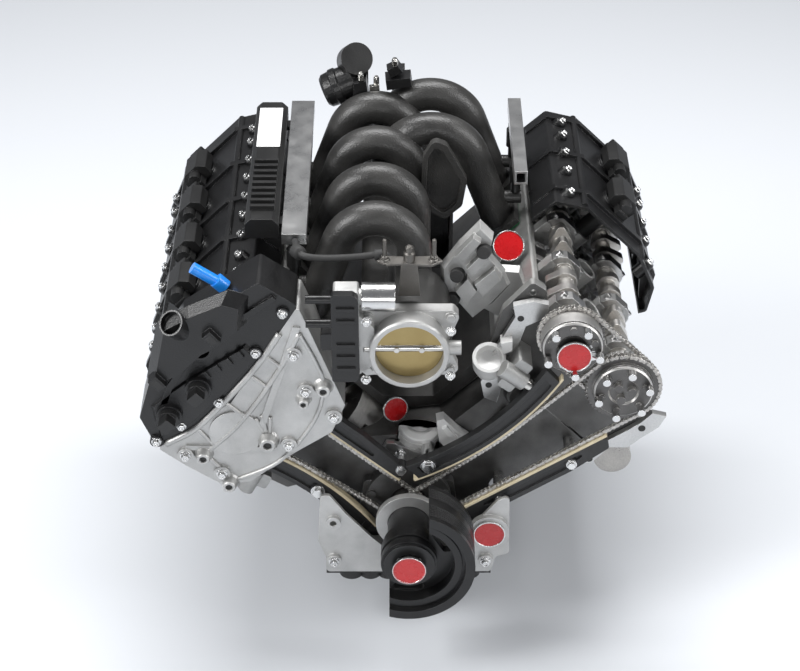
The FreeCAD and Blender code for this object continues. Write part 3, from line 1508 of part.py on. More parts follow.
def build_coil(side, along):
    base = cover_top + 4.3
    head = slab([(-19, base), (19, base), (21, base + 14), (12, base + 24), (-12, base + 24), (-21,
                                                                                               base + 14)],
                along - 24, 48.0, 3.0)
    ear = block(-9, 9, along - 44, along - 22, base, base + 9).fuse(rod(0, base + 14, along - 40, 20, 8.5))
    stick = Part.makeCylinder(12.8, base - head_foot - 40, Vector(0, along, head_foot + 40))
    screw = Part.makeCylinder(7.0, 6.0, Vector(0, along - 33, base + 9))
    plug = slab([(-12, base + 4), (12, base + 4), (12, base + 20), (-12, base + 20)], along + 20, 20.0, 2.0)
    coil = fused([head, ear, stick, screw, plug])
    coil.Placement = bank_place(side)
    return coil


coils = []
for side in BANK_NAMES:
    first = 0.0 if side < 0 else cut_station
    for cylinder in coil_wells(side, first, block_length):
        coils.append(build_coil(side, front + bore_station(side, cylinder)))
shaped("ignition_coils", Part.makeCompound(coils))


# ---------------------------------------------------------------- intake manifold

runner_radius = 23.0
runner_lean = 20.0                   # runner legs to vertical
port_z = 264.0                       # foot of a runner's leg above the crank axis
port_up = 275.0                      # middle of an intake port, along the bores
port_gasket = 2.4
port_flange = 9.6
arch_height = 348.0                  # centre of the runners' arches above the crank axis
RUNNER_ARCHES = {-1: (-43.0, 50.0), 1: (32.0, 60.0)}      # centre and radius of a bank's arches
plenum_top = 326.0
plenum_floor = 214.0
plenum_half = 62.0
plenum_cut = 232.0                   # the plenum's left half is cut away ahead of this
CUT_RUNNERS = {-1: (0, 1, 2, 3), 1: (2, 3)}
throttle_height = size("throttle_height")
throttle_radius = size("throttle_bore") / 2


def runner(side, along):
    """Pipe from a port, up its leg, over the arch and down into the plenum."""
    centre, reach = RUNNER_ARCHES[side]
    lean = math.radians(runner_lean)

    def on_arch(angle):
        turn = math.radians(angle)
        return Vector(centre + side * reach * math.cos(turn), along, arch_height + reach * math.sin(turn))
    top_of_leg = on_arch(runner_lean)
    foot = top_of_leg - Vector(-side * math.sin(lean), 0,
                               math.cos(lean)) * ((top_of_leg.z - port_z) / math.cos(lean))
    plenum_end = on_arch(180.0) - Vector(0, 0, 40.0)
    path = Part.Wire([Part.makeLine(foot, top_of_leg),
                      Part.Arc(top_of_leg, on_arch(100.0), on_arch(180.0)).toShape(),
                      Part.makeLine(on_arch(180.0), plenum_end)])
    section = Part.Wire(Part.makeCircle(runner_radius, foot, top_of_leg - foot))
    return path.makePipeShell([section], True, True)


def port_plate(side, along, lift, thick, half):
    """Square plate on a head's intake face, lifted off it by the given distance."""
    near = -side * (head_half + lift)
    far = -side * (head_half + lift + thick)
    plate = block(min(near, far), max(near, far), along - half, along + half, port_up - half, port_up + half)
    plate.Placement = bank_place(side).multiply(plate.Placement)
    return plate


def build_manifold():
    y0 = front
    pieces = []
    for side, members in CUT_RUNNERS.items():
        for cylinder in members:
            along = y0 + bore_station(side, cylinder)
            pieces.append(runner(side, along))
            pieces.append(port_plate(side, along, port_gasket, port_flange, 31.0))
            seat_x = side * 150.0
            pieces.append(bar(Vector(seat_x + side * 8, along, 300.0), Vector(-side, 0, 0), 42.0, 9.0))
    plenum = slab([(-plenum_half, plenum_floor), (plenum_half, plenum_floor), (plenum_half, plenum_top),
                   (-plenum_half, plenum_top)], y0 + 18, 424.0, 16.0)
    cut = block(24.0, 90.0, y0, y0 + plenum_cut, plenum_floor - 5, plenum_top + 5)
    plenum = plenum.cut(cut)
    neck = rod(0, throttle_height - 6, y0 - 42.0, 90.0, 55.0)
    shape = fused([plenum.cut(block(24.5, 90.0, y0, y0 + 40, 200, 340))] + pieces + [neck])
    room = rod(0, throttle_height, y0 - 43.0, 70.0, throttle_radius)
    cavity = slab([(28.0, plenum_floor + 8), (plenum_half - 6, plenum_floor + 14), (plenum_half - 4,
                                                                                    plenum_top - 14),
                   (30.0, plenum_top - 4)], y0 + plenum_cut - 1, 46.0, 12.0)
    shape = shape.cut(room).cut(cavity)
    fin = slab([(17.0, 322), (20.0, 398), (34.0, 424), (52.0, 416), (80.0, 362), (74.0, 322), (50.0, 300)],
               y0 + plenum_cut - 12, 12.0, 10.0)
    hollow = slab([(24.0, 330), (26.0, 396), (36.0, 414), (48.0, 406), (72.0, 360), (66.0, 326), (48.0, 308)],
                  y0 + plenum_cut - 13, 8.0, 10.0)
    return fused([shape, fin.cut(hollow)])


shaped("intake_manifold", build_manifold())


def build_port_gaskets():
    """Square rubber gaskets between the manifold's feet and the heads."""
    half = 29.0
    gaskets = []
    for side, members in CUT_RUNNERS.items():
        near = -side * head_half if side < 0 else -side * (head_half + port_gasket)
        for cylinder in members:
            corner = at(near, front + bore_station(side, cylinder) - half, port_up - half)
            gaskets.append(box("port_gasket_%s_%d" % (BANK_NAMES[side], cylinder), port_gasket, 2 * half,
                               2 * half,
                               bank_place(side).multiply(corner)))
    return group("port_gasket_set", gaskets)


keep(build_port_gaskets(), "manifold_gaskets")


# ---------------------------------------------------------------- throttle

throttle_front = -88.0
throttle_back = -42.3
plate_station = front - 70.0
flange_x = 52.5
flange_z = 40.0
shaft_radius = 5.0


def build_throttle_body():
    start = front + throttle_front
    length = throttle_back - throttle_front
    zt = throttle_height
    tube = rod(0, zt, start, length, throttle_radius + 5.5)
    corner = [(-flange_x - 4, zt - flange_z - 9), (flange_x + 4, zt - flange_z - 9), (flange_x + 11,
                                                                                      zt - flange_z),
              (flange_x - 4, zt), (flange_x + 11, zt + flange_z), (flange_x + 4, zt + flange_z + 9),
              (-flange_x - 4, zt + flange_z + 9), (-flange_x - 11, zt + flange_z), (-flange_x + 4, zt),
              (-flange_x - 11, zt - flange_z)]
    flange = slab(corner, front - 60.0, 60.0 + throttle_back, 6.0)
    case = slab([(-96, 246), (-66, 246), (-44, 262), (-44, 318), (-63, 336), (-63, 372), (-96, 372)],
                front - 74.0, 26.0, 4.0)
    seat = bar(Vector(-68, front - 62.0, 358.0), Vector(1, 0, 0), 8.0, 11.5)
    boss = bar(Vector(44.0, plate_station, zt), Vector(1, 0, 0), 22.0, 9.5)
    shape = fused([tube, flange, case, seat, boss])
    lip = turned([(throttle_radius + 5.5, start), (throttle_radius + 7.5, start + 2),
                  (throttle_radius + 7.5, start + 7),
                  (throttle_radius + 5.4, start + 9), (throttle_radius + 2,
                                                       start + 9), (throttle_radius + 2, start)])
    lip.translate(Vector(0, 0, zt))
    shape = shape.fuse(lip)
    shape = shape.cut(rod(0, zt, start - 1, length + 2, throttle_radius))
    shape = shape.cut(bar(Vector(-58.0, plate_station, zt), Vector(1, 0, 0), 119.0, shaft_radius + fit))
    for x in (-flange_x, flange_x):
        for z in (zt - flange_z, zt + flange_z):
            shape = shape.cut(rod(x, z, front - 61, 30.0, 4.2))
            screw = bolt(x, z, front - 60.05, 17.0, 6.0, 4.0)
            shape = shape.fuse(screw)
    return shape.removeSplitter()


shaped("throttle_body", build_throttle_body())


def build_actuator():
    """Drive motor, and the gear case's lid with its connector."""
    motor = bar(Vector(-59.7, front - 62.0, 358.0), Vector(1, 0, 0), 42.0, 18.5)
    lid = slab([(-98, 244), (-66, 244), (-63, 252), (-64, 368), (-70, 375), (-98, 375)], front - 86.0,
               11.7, 4.0)
    ribs = [slab([(-92, z), (-68, z), (-68, z + 5), (-92, z + 5)], front - 89.0, 4.0, 1.0) for z in (262,
                                                                                                     280, 298, 334, 352)]
    plug = slab([(-112, 292), (-96, 292), (-96, 316), (-112, 316)], front - 84.0, 20.0, 3.0)
    plug = plug.cut(block(-98.5, -90, front - 74.4, front - 40, 244, 375))
    nipples = [bar(Vector(-90, front - 80.2, z), Vector(-1, 0, 0), 40.0, 5.5) for z in (330.0, 366.0)]
    lid = fused([lid, plug] + ribs + nipples)
    return Part.makeCompound([motor, lid])


shaped("throttle_actuator", build_actuator())


def throttle_disc():
    """Throttle plate on its shaft, as a parametric body."""
    plate = drum("throttle_disc", "throttle_bore / 2 - running_gap", 3.0, Vector(0, plate_station - 1.5,
                                                                                 throttle_height))
    shaft = drum("throttle_shaft", shaft_radius, "throttle_bore + 30", Vector(-57.0, plate_station,
                                                                              throttle_height),
                 ALONG_X)
    pieces = [plate, shaft]
    for index, x in enumerate((-16.0, 16.0)):
        pieces.append(drum("throttle_screw_%d" % index, 3.6, 5.0, Vector(x, plate_station - 7.0,
                                                                         throttle_height)))
    return keep(union("throttle_plate_body", pieces), "throttle_plate")


throttle_disc()


# ---------------------------------------------------------------- fuel rails, injectors and module

rail_foot = 372.0


def build_rails():
    """Square fuel tubes; the left one is cut open at the front."""
    y0 = front
    right = solid_box("right_rail_tube", -164, -132, y0 + 40, y0 + 402, rail_foot, rail_foot + 15)
    right_way = solid_box("right_rail_bore", -158, -138, y0 + 44, y0 + 395, rail_foot + 3, rail_foot + 12)
    left = solid_box("left_rail_tube", 142, 160, y0 + 192, y0 + 400, rail_foot, rail_foot + 20)
    left_way = solid_box("left_rail_bore", 145, 157, y0 + 190, y0 + 394, rail_foot + 3, rail_foot + 17)
    return group("rail_set", [minus("right_rail", right, right_way), minus("left_rail", left, left_way)])


keep(build_rails(), "fuel_rails")

injector_foot = 309.2
injector_x = 150.0


def injector(name, x, along):
    """Injector body, its collar and its plug."""
    body = drum(name + "_body", 6.5, rail_foot - injector_foot - 0.2, Vector(x, along, injector_foot),
                UPRIGHT)
    collar = drum(name + "_collar", 9.5, 26, Vector(x, along, 326), UPRIGHT)
    plug = solid_box(name + "_plug", x - 6, x + 6, along + 4, along + 22, 336, 350)
    return union(name, [body, collar, plug])


injectors = []
for side, members in CUT_RUNNERS.items():
    for cylinder in members:
        name = "injector_%s_%d" % (BANK_NAMES[side], cylinder)
        injectors.append(injector(name, side * injector_x, front + bore_station(side, cylinder)))
keep(group("injector_set", injectors), "injectors")


def build_module():
    """Finned cover beside the right fuel rail, on two feet that bolt to the rail."""
    y0 = front + 52
    outline = [(-212, 374), (-168, 374), (-168, 394), (-176, 402), (-204, 402), (-212, 394)]
    pieces = [plate_body("module_case", outline, y0, 318.0, 3.0)]
    pieces.append(solid_box("module_plate", -206, -174, y0 + 190, y0 + 300, 401.5, 402.6))
    for index in range(9):
        start = y0 + 24 + index * 15
        pieces.append(solid_box("module_fin_%d" % index, -206, -174, start, start + 6, 400, 408))
    for index, reach in enumerate((20, 280)):
        pieces.append(solid_box("module_foot_%d" % index, -176, -164, y0 + reach, y0 + reach + 18, 378, 384))
    return union("module_fused", pieces)


keep(build_module(), "control_module")


# ---------------------------------------------------------------- exhaust, fittings and discs

header_radius = 20.0


def header_stub(along):
    """Bent pipe from an exhaust port of the left bank down to the collector."""
    x, z = bank_xz(1, head_foot + 38, head_half)
    start = Vector(x, along, z)
    direction = Vector(math.cos(math.radians(tilt)), 0, -math.sin(math.radians(tilt)))
    knee = start + direction * 30
    reach = 48.0
    turn = math.radians(45)
    centre = knee + Vector(-math.sin(math.radians(45)), 0, -math.cos(math.radians(45))) * reach
    mid = centre + Vector(math.cos(turn / 2), 0, math.sin(turn / 2)) * reach
    foot = centre + Vector(reach, 0, 0)
    path = Part.Wire([Part.makeLine(start, knee), Part.Arc(knee, mid, foot).toShape(),
                      Part.makeLine(foot, foot - Vector(0, 0, 58))])
    section = Part.Wire(Part.makeCircle(header_radius, start, direction))
    pipe = path.makePipeShell([section], True, True)
    ring = Part.makeCylinder(header_radius + 5, 10, foot - Vector(0, 0, 22))
    flange = bar(start, direction, 9.0, 27.0)
    return fused([pipe, ring, flange]), foot


def build_exhaust():
    pieces = []
    for cylinder in cylinders:
        pipe, foot = header_stub(front + bore_station(1, cylinder))
        pieces.append(pipe)
    collector = rod(foot.x, foot.z - 60, front + bore_station(1, 0) - 24, 352.0, 26.0)
    return fused(pieces + [collector])


shaped("exhaust_header", build_exhaust())


def build_cover_fittings():
    """Oil filler cap, the two phaser solenoids' caps and the breather on the right cam cover."""
    side = -1
    start = front + cover_face
    solids = []
    for x, z in ((30.0, 352.0), (88.0, 350.0)):
        cap = rod(side * x, z, start - 20.0, 7.9, 13.5)
        plug = slab(outward([(x - 9, z - 6), (x + 9, z - 6), (x + 9, z + 10), (x - 9, z + 10)], side),
                    start - 36.0, 17.0, 2.0)
        solids.append(cap.fuse(plug))
    tube = bar(Vector(side * -87, front - 36.0, 416.1), Vector(0, 0, 1), 15.4, 10.0)
    elbow = bar(Vector(side * -87, front - 36.0, 424.0), Vector(side * 0.18, 0, 0.98), 42.0, 7.5)
    solids.append(tube.fuse(elbow))
    placed = []
    for solid in solids:
        solid.Placement = bank_place(side).multiply(solid.Placement)
        placed.append(solid)
    return Part.makeCompound(placed)


shaped("cover_fittings", build_cover_fittings())


def build_manifold_fittings():
    """Flap actuator, sensor and vent pipe on the manifold."""
    y0 = front
    can = bar(Vector(-78, y0 + 420.0, 440.0), Vector(0.25, -0.75, 0.55), 26.0, 23.0)
    foot = block(-84, -36, y0 + 412, y0 + 444, 326.3, 334)
    post = block(-66, -56, y0 + 422, y0 + 440, 333, 452)
    actuator = fused([can, foot, post])
    sensor = fused([block(-28, 2, y0 + 412, y0 + 440, 326.3, 352), rod(-13, 362, y0 + 409, 35, 12.0),
                    block(-22, -4, y0 + 414, y0 + 434, 350, 430)])
    return Part.makeCompound([actuator, sensor])


shaped("manifold_fittings", build_manifold_fittings())


def aimed_disc(name, radius, reach, centre, facing):
    """Display disc on a post that runs straight back from it."""
    disc = disc_body(name, radius, 3.0, 5.0, reach)
    disc.Placement = Placement(centre, Rotation(Vector(0, -1, 0), facing))
    return disc


def build_discs():
    """Round display discs that stay with the engine's fixed parts; two stand on posts cut to fit behind."""
    cover_disc = aimed_disc("cover_disc", disc_radius, 0.1, Vector(108.0, front + cover_face - 7.2, -12.0),
                            Vector(0, -1, 0))
    port_disc = aimed_disc("port_disc", disc_radius, 59.0, Vector(136.0, front + 167.0, 290.0),
                           Vector(0, -0.743, 0.669))
    head_side = box("port_disc_limit", head_half + 40.3, "block_length", 200,
                    bank_place(1).multiply(at(-head_half - 0.3, front, 200)))
    window_disc = aimed_disc("window_disc", disc_radius - 4, 59.0, Vector(-18.0, front + 27.0, 119.0),
                             Vector(0.3, -0.9, 0.3))
    wall = front + window_depth - 1.3
    window_limit = solid_box("window_disc_limit", -200, 200, wall, wall + 200, 0, 300)
    return group("disc_set", [cover_disc, minus("port_disc_fitted", port_disc, head_side),
                              minus("window_disc_fitted", window_disc, window_limit)])


keep(build_discs(), "display_discs")


# ---------------------------------------------------------------- checks and files

doc.recompute()
faults = [thing.Name for thing in doc.Objects if "Invalid" in thing.State or "Error" in thing.State]
if faults:
    raise RuntimeError("objects not built: " + ", ".join(faults))
for label, thing in parts.items():
    if thing.Shape.isNull() or not thing.Shape.isValid() or thing.Shape.Volume <= 0:
        raise RuntimeError("shape not valid: " + label)

os.makedirs("parts", exist_ok=True)
for label, thing in parts.items():
    thing.Shape.exportStep(os.path.join("parts", label + ".step"))
print(len(parts), "sub-parts written")
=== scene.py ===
"""Looks of a cut-away V8 engine on show: every casting, shaft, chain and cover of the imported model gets
its finish, and the small parts that make it read as a real engine are built round it."""
import math

import bmesh
import bpy
import numpy as np
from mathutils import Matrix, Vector


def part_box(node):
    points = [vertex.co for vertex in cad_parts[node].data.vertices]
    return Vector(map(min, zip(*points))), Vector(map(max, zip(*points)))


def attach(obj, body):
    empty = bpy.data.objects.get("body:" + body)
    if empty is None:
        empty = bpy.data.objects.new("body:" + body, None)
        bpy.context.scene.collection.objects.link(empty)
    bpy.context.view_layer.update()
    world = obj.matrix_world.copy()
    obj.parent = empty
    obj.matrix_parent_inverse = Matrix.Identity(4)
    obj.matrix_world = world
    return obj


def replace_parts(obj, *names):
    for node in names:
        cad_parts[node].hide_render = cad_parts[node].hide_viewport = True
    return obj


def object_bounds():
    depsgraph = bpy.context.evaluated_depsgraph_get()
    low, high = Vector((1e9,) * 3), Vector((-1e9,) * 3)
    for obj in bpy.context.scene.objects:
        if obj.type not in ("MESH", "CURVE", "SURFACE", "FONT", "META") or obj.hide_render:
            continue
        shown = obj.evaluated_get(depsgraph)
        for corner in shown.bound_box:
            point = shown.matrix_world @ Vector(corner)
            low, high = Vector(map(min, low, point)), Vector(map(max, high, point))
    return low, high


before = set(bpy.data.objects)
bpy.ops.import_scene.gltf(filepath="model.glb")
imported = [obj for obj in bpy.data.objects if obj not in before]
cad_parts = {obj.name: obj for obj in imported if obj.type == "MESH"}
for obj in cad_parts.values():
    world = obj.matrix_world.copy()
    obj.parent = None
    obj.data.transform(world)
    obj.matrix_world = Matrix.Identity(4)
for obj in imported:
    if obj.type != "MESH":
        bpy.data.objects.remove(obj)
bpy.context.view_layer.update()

# ---- Cylinder block -------------------------------------------------------------------------------
# Sand-cast aluminium V8 block.  The castings are shot-blasted, so they are pale and evenly grainy, with
# machined faces at the joints and dark residue in random patches.  The block itself is a much darker copy,
# painted shade for the shaded inside of the engine.

ENGINE = "engine"
MM = 0.001


class Wire:
    """One socket of a finish; arithmetic on it adds the nodes that work it out."""

    def __init__(self, tree, socket=None):
        self.tree = tree
        self.socket = socket

    def node(self, kind, settings, sockets, output=0):
        made = self.tree.nodes.new(kind)
        for name, value in settings.items():
            if name == "stops":
                while len(made.color_ramp.elements) < len(value):
                    made.color_ramp.elements.new(0.5)
                for element, (place, shade) in zip(made.color_ramp.elements, value):
                    element.position = place
                    element.color = (shade, shade, shade, 1)
            else:
                setattr(made, name, value)
        for name, value in sockets.items():
            if isinstance(value, Wire):
                self.tree.links.new(value.socket, made.inputs[name])
            else:
                made.inputs[name].default_value = value
        return Wire(self.tree, made.outputs[output] if made.outputs else None)

    def _math(self, operation, first, second, clamp=False):
        return self.node("ShaderNodeMath", {"operation": operation, "use_clamp": clamp},
                         {0: first, 1: second})

    def __add__(self, other):
        return self._math("ADD", self, other)

    __radd__ = __add__

    def __sub__(self, other):
        return self._math("SUBTRACT", self, other)

    def __rsub__(self, other):
        return self._math("SUBTRACT", other, self)

    def __mul__(self, other):
        return self._math("MULTIPLY", self, other)

    __rmul__ = __mul__

    def __pow__(self, other):
        return self._math("POWER", self, other)

    def __gt__(self, other):
        return self._math("GREATER_THAN", self, other)

    def clamped(self):
        return self._math("ADD", self, 0.0, True)

    def between(self, dark, pale):
        """Colour that runs from dark, where the value is 0, to pale, where it is 1."""
        return self.node("ShaderNodeMix", {"data_type": "RGBA"},
                         {0: self, 6: (*dark, 1) if isinstance(dark, tuple) else dark,
                          7: (*pale, 1) if isinstance(pale, tuple) else pale}, 2)

    def cloud(self, scale, detail=4.0, stretch=None):
        """Soft noise, in features per metre, drawn out along an axis by stretch."""
        place = self
        if stretch:
            place = self.node("ShaderNodeVectorMath", {"operation": "MULTIPLY"}, {0: self, 1: stretch})
        return self.node("ShaderNodeTexNoise", {}, {"Vector": place, "Scale": scale, "Detail": detail}, 0)

    def flecks(self, scale, low, high):
        """Bright points scattered like filler in a moulded plastic or sand in a casting."""
        cells = self.node("ShaderNodeTexVoronoi", {}, {"Vector": self, "Scale": scale}, 0)
        return cells.node("ShaderNodeValToRGB", {"stops": ((low, 1.0), (high, 0.0))}, {0: cells})


def begin_finish(name):
    """Empty finish, with the place on the part and how worn the nearest edge is."""
    made = bpy.data.materials.new(name)
    made.use_nodes = True
    tree = made.node_tree
    tree.nodes.clear()
    start = Wire(tree)
    place = start.node("ShaderNodeTexCoord", {}, {}, "Object")
    rounded = start.node("ShaderNodeBevel", {"samples": 4}, {"Radius": 0.0011})
    flat = start.node("ShaderNodeNewGeometry", {}, {}, "Normal")
    facing = start.node("ShaderNodeVectorMath", {"operation": "DOT_PRODUCT"}, {0: rounded, 1: flat}, "Value")
    edge = ((1.0 - facing) * 5.0).clamped()
    return made, place, rounded, edge


def end_finish(made, rounded, metallic, colour, roughness, height, depth, coat=0.0):
    bump = rounded.node("ShaderNodeBump", {}, {"Strength": 1.0, "Distance": depth, "Height": height,
                                               "Normal": rounded})
    surface = rounded.node("ShaderNodeBsdfPrincipled", {}, {"Base Color": colour, "Metallic": metallic,
                                                            "Roughness": roughness, "Normal": bump,
                                                            "Coat Weight": coat, "Coat Roughness": 0.15})
    rounded.node("ShaderNodeOutputMaterial", {}, {"Surface": surface})
    return made


def plain_finish(name, dark, pale, blotch, sheen, spread, rough, fine, depth, coat=0.0):
    """Paint, rubber or plain plastic: a faint cloud of tone, uneven sheen and a fine skin.  Blotch, sheen
    and fine are features per metre; spread and rough say how dull it is, and depth how rough to the touch."""
    made, place, rounded, edge = begin_finish(name)
    return end_finish(made, rounded, 0.0, place.cloud(blotch).between(dark, pale),
                      place.cloud(sheen) * spread + rough, place.cloud(fine), depth, coat)


def cast_metal(name, dark, pale, rough=0.5, metallic=0.85, grain=0.00022, soil=0.35):
    """Sand-cast or shot-blasted metal: pitted, blotchy, brighter where edges have been handled."""
    made, place, rounded, edge = begin_finish(name)
    blotch = place.cloud(38.0, 5.0)
    sand = place.cloud(1500.0, 2.0)
    pits = place.flecks(700.0, 0.05, 0.34)
    shade = (blotch * 0.9 + sand * 0.5 - pits * 0.25 - 0.2 + edge * 0.5).clamped()
    grime = (place.cloud(14.0, 6.0) * 2.2 - 0.75).clamped() * soil
    tone = shade.between(dark, pale)
    tone = grime.between(tone, (dark[0] * 0.35, dark[1] * 0.33, dark[2] * 0.30))
    roughness = blotch * 0.25 + (rough - 0.1) - edge * 0.12
    return end_finish(made, rounded, metallic, tone, roughness, sand + pits * -0.8, grain)


def dress(node, *coats):
    """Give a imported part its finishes: the first everywhere, each later one where its test holds.
    A test gets the middles of the faces, in millimetres, and the way they face."""
    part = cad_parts[node]
    mesh = part.data
    mesh.materials.clear()
    count = len(mesh.polygons)
    middles = np.zeros(count * 3)
    facing = np.zeros(count * 3)
    mesh.polygons.foreach_get("center", middles)
    mesh.polygons.foreach_get("normal", facing)
    middles = middles.reshape(-1, 3) / MM
    facing = facing.reshape(-1, 3)
    worn = np.zeros(count, np.int32)
    for index, coat in enumerate(coats):
        made, test = coat if isinstance(coat, tuple) else (coat, None)
        mesh.materials.append(made)
        if test is not None:
            worn[test(middles, facing)] = index
    mesh.polygons.foreach_set("material_index", worn)
    return part


def machined_metal(name, dark, pale, rough=0.3, grain=0.00004, stretch=(1.0, 12.0, 1.0), metallic=1.0):
    """Milled, turned or ground metal: fine lines from the cutter over a soft cloud of handling marks."""
    made, place, rounded, edge = begin_finish(name)
    lines = place.cloud(420.0, 3.0, stretch)
    smear = place.cloud(30.0, 4.0)
    shade = (lines * 0.7 + smear * 0.8 - 0.25 + edge * 0.3).clamped()
    tone = shade.between(dark, pale)
    roughness = smear * 0.22 + lines * 0.12 + (rough - 0.16)
    return end_finish(made, rounded, metallic, tone, roughness, lines, grain)


# Painted shade: the block is a much darker copy of the cast aluminium of the heads, for the shaded inside of
# the engine.
painted_shade_block = cast_metal("block_painted_shade_casting", (0.035, 0.034, 0.033), (0.16, 0.158, 0.155), 0.5)
# Painted shade: a less dark copy of the cast aluminium, for the front walls behind the chains, the pump and
# the solenoid block.
wall_painted_shade_casting = cast_metal("wall_painted_shade_casting", (0.06, 0.059, 0.058), (0.24, 0.238, 0.234), 0.44)
milled_face = machined_metal("milled_aluminium", (0.40, 0.40, 0.40), (0.66, 0.66, 0.65), 0.32)
# The block's front faces take the wall copy, painted shade.
dress("engine_block", painted_shade_block, (wall_painted_shade_casting, lambda at, n: (n[:, 1] < -0.9) & (at[:, 1] < -463.0)))

# ---- Crankshaft and its bearings ------------------------------------------------------------------
# Forged steel crank, dark where it was left as forged and bright on its ground journals.

forged = cast_metal("forged_steel", (0.07, 0.065, 0.06), (0.24, 0.23, 0.215), 0.42, 1.0, 0.0001, 0.2)
ground = machined_metal("ground_steel", (0.42, 0.41, 0.39), (0.72, 0.71, 0.68), 0.2, 0.00002)
bearing_shell = machined_metal("bearing_shell", (0.35, 0.24, 0.16), (0.55, 0.42, 0.30), 0.3)
dress("crankshaft", ground)
dress("main_bearings", bearing_shell)
dress("crank_sprocket", forged)

# ---- Pistons and rods -----------------------------------------------------------------------------
# Cast aluminium pistons with turned crowns and grey coated skirts; the rods are forged steel.

piston_skin = machined_metal("piston_aluminium", (0.30, 0.29, 0.28), (0.62, 0.61, 0.59), 0.36)
for bank in ("left", "right"):
    for row in ("first", "second"):
        dress("pistons_%s_%s" % (bank, row), piston_skin)
        dress("rods_%s_%s" % (bank, row), forged)

# ---- Damper ---------------------------------------------------------------------------------------
# Cast-iron pulley ring bonded to its hub with rubber, painted black and cut open to show the section.

# Black rubber, also used for dark discs and plugs that paint the shade inside holes, hollows and port mouths.
rubber_and_hole_shade = plain_finish("bonded_rubber_and_hole_shade", (0.012, 0.012, 0.012), (0.03, 0.03, 0.03),
                      300.0, 80.0, 0.2, 0.55, 900.0, 0.0001)
black_iron = cast_metal("black_painted_iron", (0.006, 0.006, 0.006), (0.022, 0.022, 0.023), 0.32, 0.3,
                        0.00008, 0.0)
silver = machined_metal("silver_turned", (0.55, 0.55, 0.55), (0.8, 0.8, 0.79), 0.22)
dress("damper_hub", black_iron)
dress("damper_ring", black_iron)

# ---- Display discs --------------------------------------------------------------------------------
# Bare red lacquered discs in turned silver rims, fixed where a visitor is meant to look.

red_lacquer = plain_finish("red_lacquer", (0.40, 0.002, 0.004), (0.52, 0.004, 0.007),
                           60.0, 120.0, 0.15, 0.2, 500.0, 0.00001, 0.4)


def disc_face(centre, radius, axis=(0, -1, 0)):
    """Test for the lacquered face of a disc, inside its rim."""
    way = Vector(axis).normalized()

    def test(at, n):
        away = at - np.array(centre)
        along = away @ np.array(way)
        across = np.linalg.norm(away - np.outer(along, np.array(way)), axis=1)
        return (n @ np.array(way) > 0.95) & (across < radius) & (np.abs(along) < 8.0)
    return test


low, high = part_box("crank_bolt")
crank_face = low.y / MM
dress("crank_bolt", silver, (red_lacquer, disc_face((0, crank_face, 0), 21.0)))
dress("display_discs", silver, (red_lacquer, disc_face((108, -541, -12), 19.8)),
      (red_lacquer, disc_face((136.0, -297.0, 290.0), 19.8, (0, -0.743, 0.669))),
      (red_lacquer, disc_face((-18.0, -437.0, 119.0), 15.8, (0.3, -0.9, 0.3))))

# ---- Cylinder heads -------------------------------------------------------------------------------
# Cast aluminium heads, milled where the covers and cam caps sit, with pressed gaskets under them.

head_casting = cast_metal("head_casting", (0.26, 0.26, 0.255), (0.60, 0.60, 0.59), 0.46)
gasket_steel = machined_metal("gasket_steel", (0.14, 0.14, 0.14), (0.3, 0.3, 0.3), 0.4)
# The front faces of the heads take the darker wall copy of the casting, painted shade.
for bank in ("left", "right"):
    dress("cylinder_head_" + bank, head_casting,
          (wall_painted_shade_casting, lambda at, n: (n[:, 1] < -0.9) & (at[:, 1] < -463.0)))
dress("head_gaskets", gasket_steel)
dress("cam_caps", milled_face)

# ---- Camshafts, rockers and valves ----------------------------------------------------------------
# Ground steel cams over roller fingers; each valve stands in a coiled spring under a pressed cap.

cam_steel = machined_metal("cam_steel", (0.52, 0.50, 0.47), (0.82, 0.80, 0.77), 0.34)
spring_steel = machined_metal("spring_steel", (0.34, 0.34, 0.35), (0.66, 0.66, 0.67), 0.3)
for bank in ("left", "right"):
    for kind in ("intake", "exhaust"):
        dress("camshaft_%s_%s" % (bank, kind), cam_steel)
        dress("valve_gear_%s_%s" % (bank, kind), spring_steel)

# ---- Cam phasers and sprockets --------------------------------------------------------------------
# Sintered steel phasers with bright bolt heads; one carries a red disc.

sintered = cast_metal("sintered_steel", (0.40, 0.39, 0.38), (0.70, 0.69, 0.67), 0.36, 1.0, 0.00006, 0.15)
phaser_face = cast_metal("phaser_face", (0.06, 0.058, 0.056), (0.20, 0.195, 0.19), 0.34, 1.0, 0.00005, 0.1)


def faces_front(at, n):
    """Test for faces that look straight ahead."""
    return n[:, 1] < -0.9


for bank in ("left", "right"):
    for kind in ("intake", "exhaust"):
        dress("phaser_%s_%s" % (bank, kind), sintered, (phaser_face, faces_front))
low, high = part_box("phaser_left_intake")
middle = (low + high) / 2 / MM
disc_centre = (middle.x + 2, low.y / MM, middle.z - 9)
dress("phaser_left_intake", sintered, (phaser_face, faces_front), (silver, disc_face(disc_centre, 23.6)),
      (red_lacquer, disc_face(disc_centre, 20.9)))

# ---- Timing chains --------------------------------------------------------------------------------
# Roller chains of blued steel side plates over bright pins.

chain_steel = machined_metal("chain_steel", (0.26, 0.25, 0.24), (0.62, 0.60, 0.57), 0.28)
PITCH = 6.35


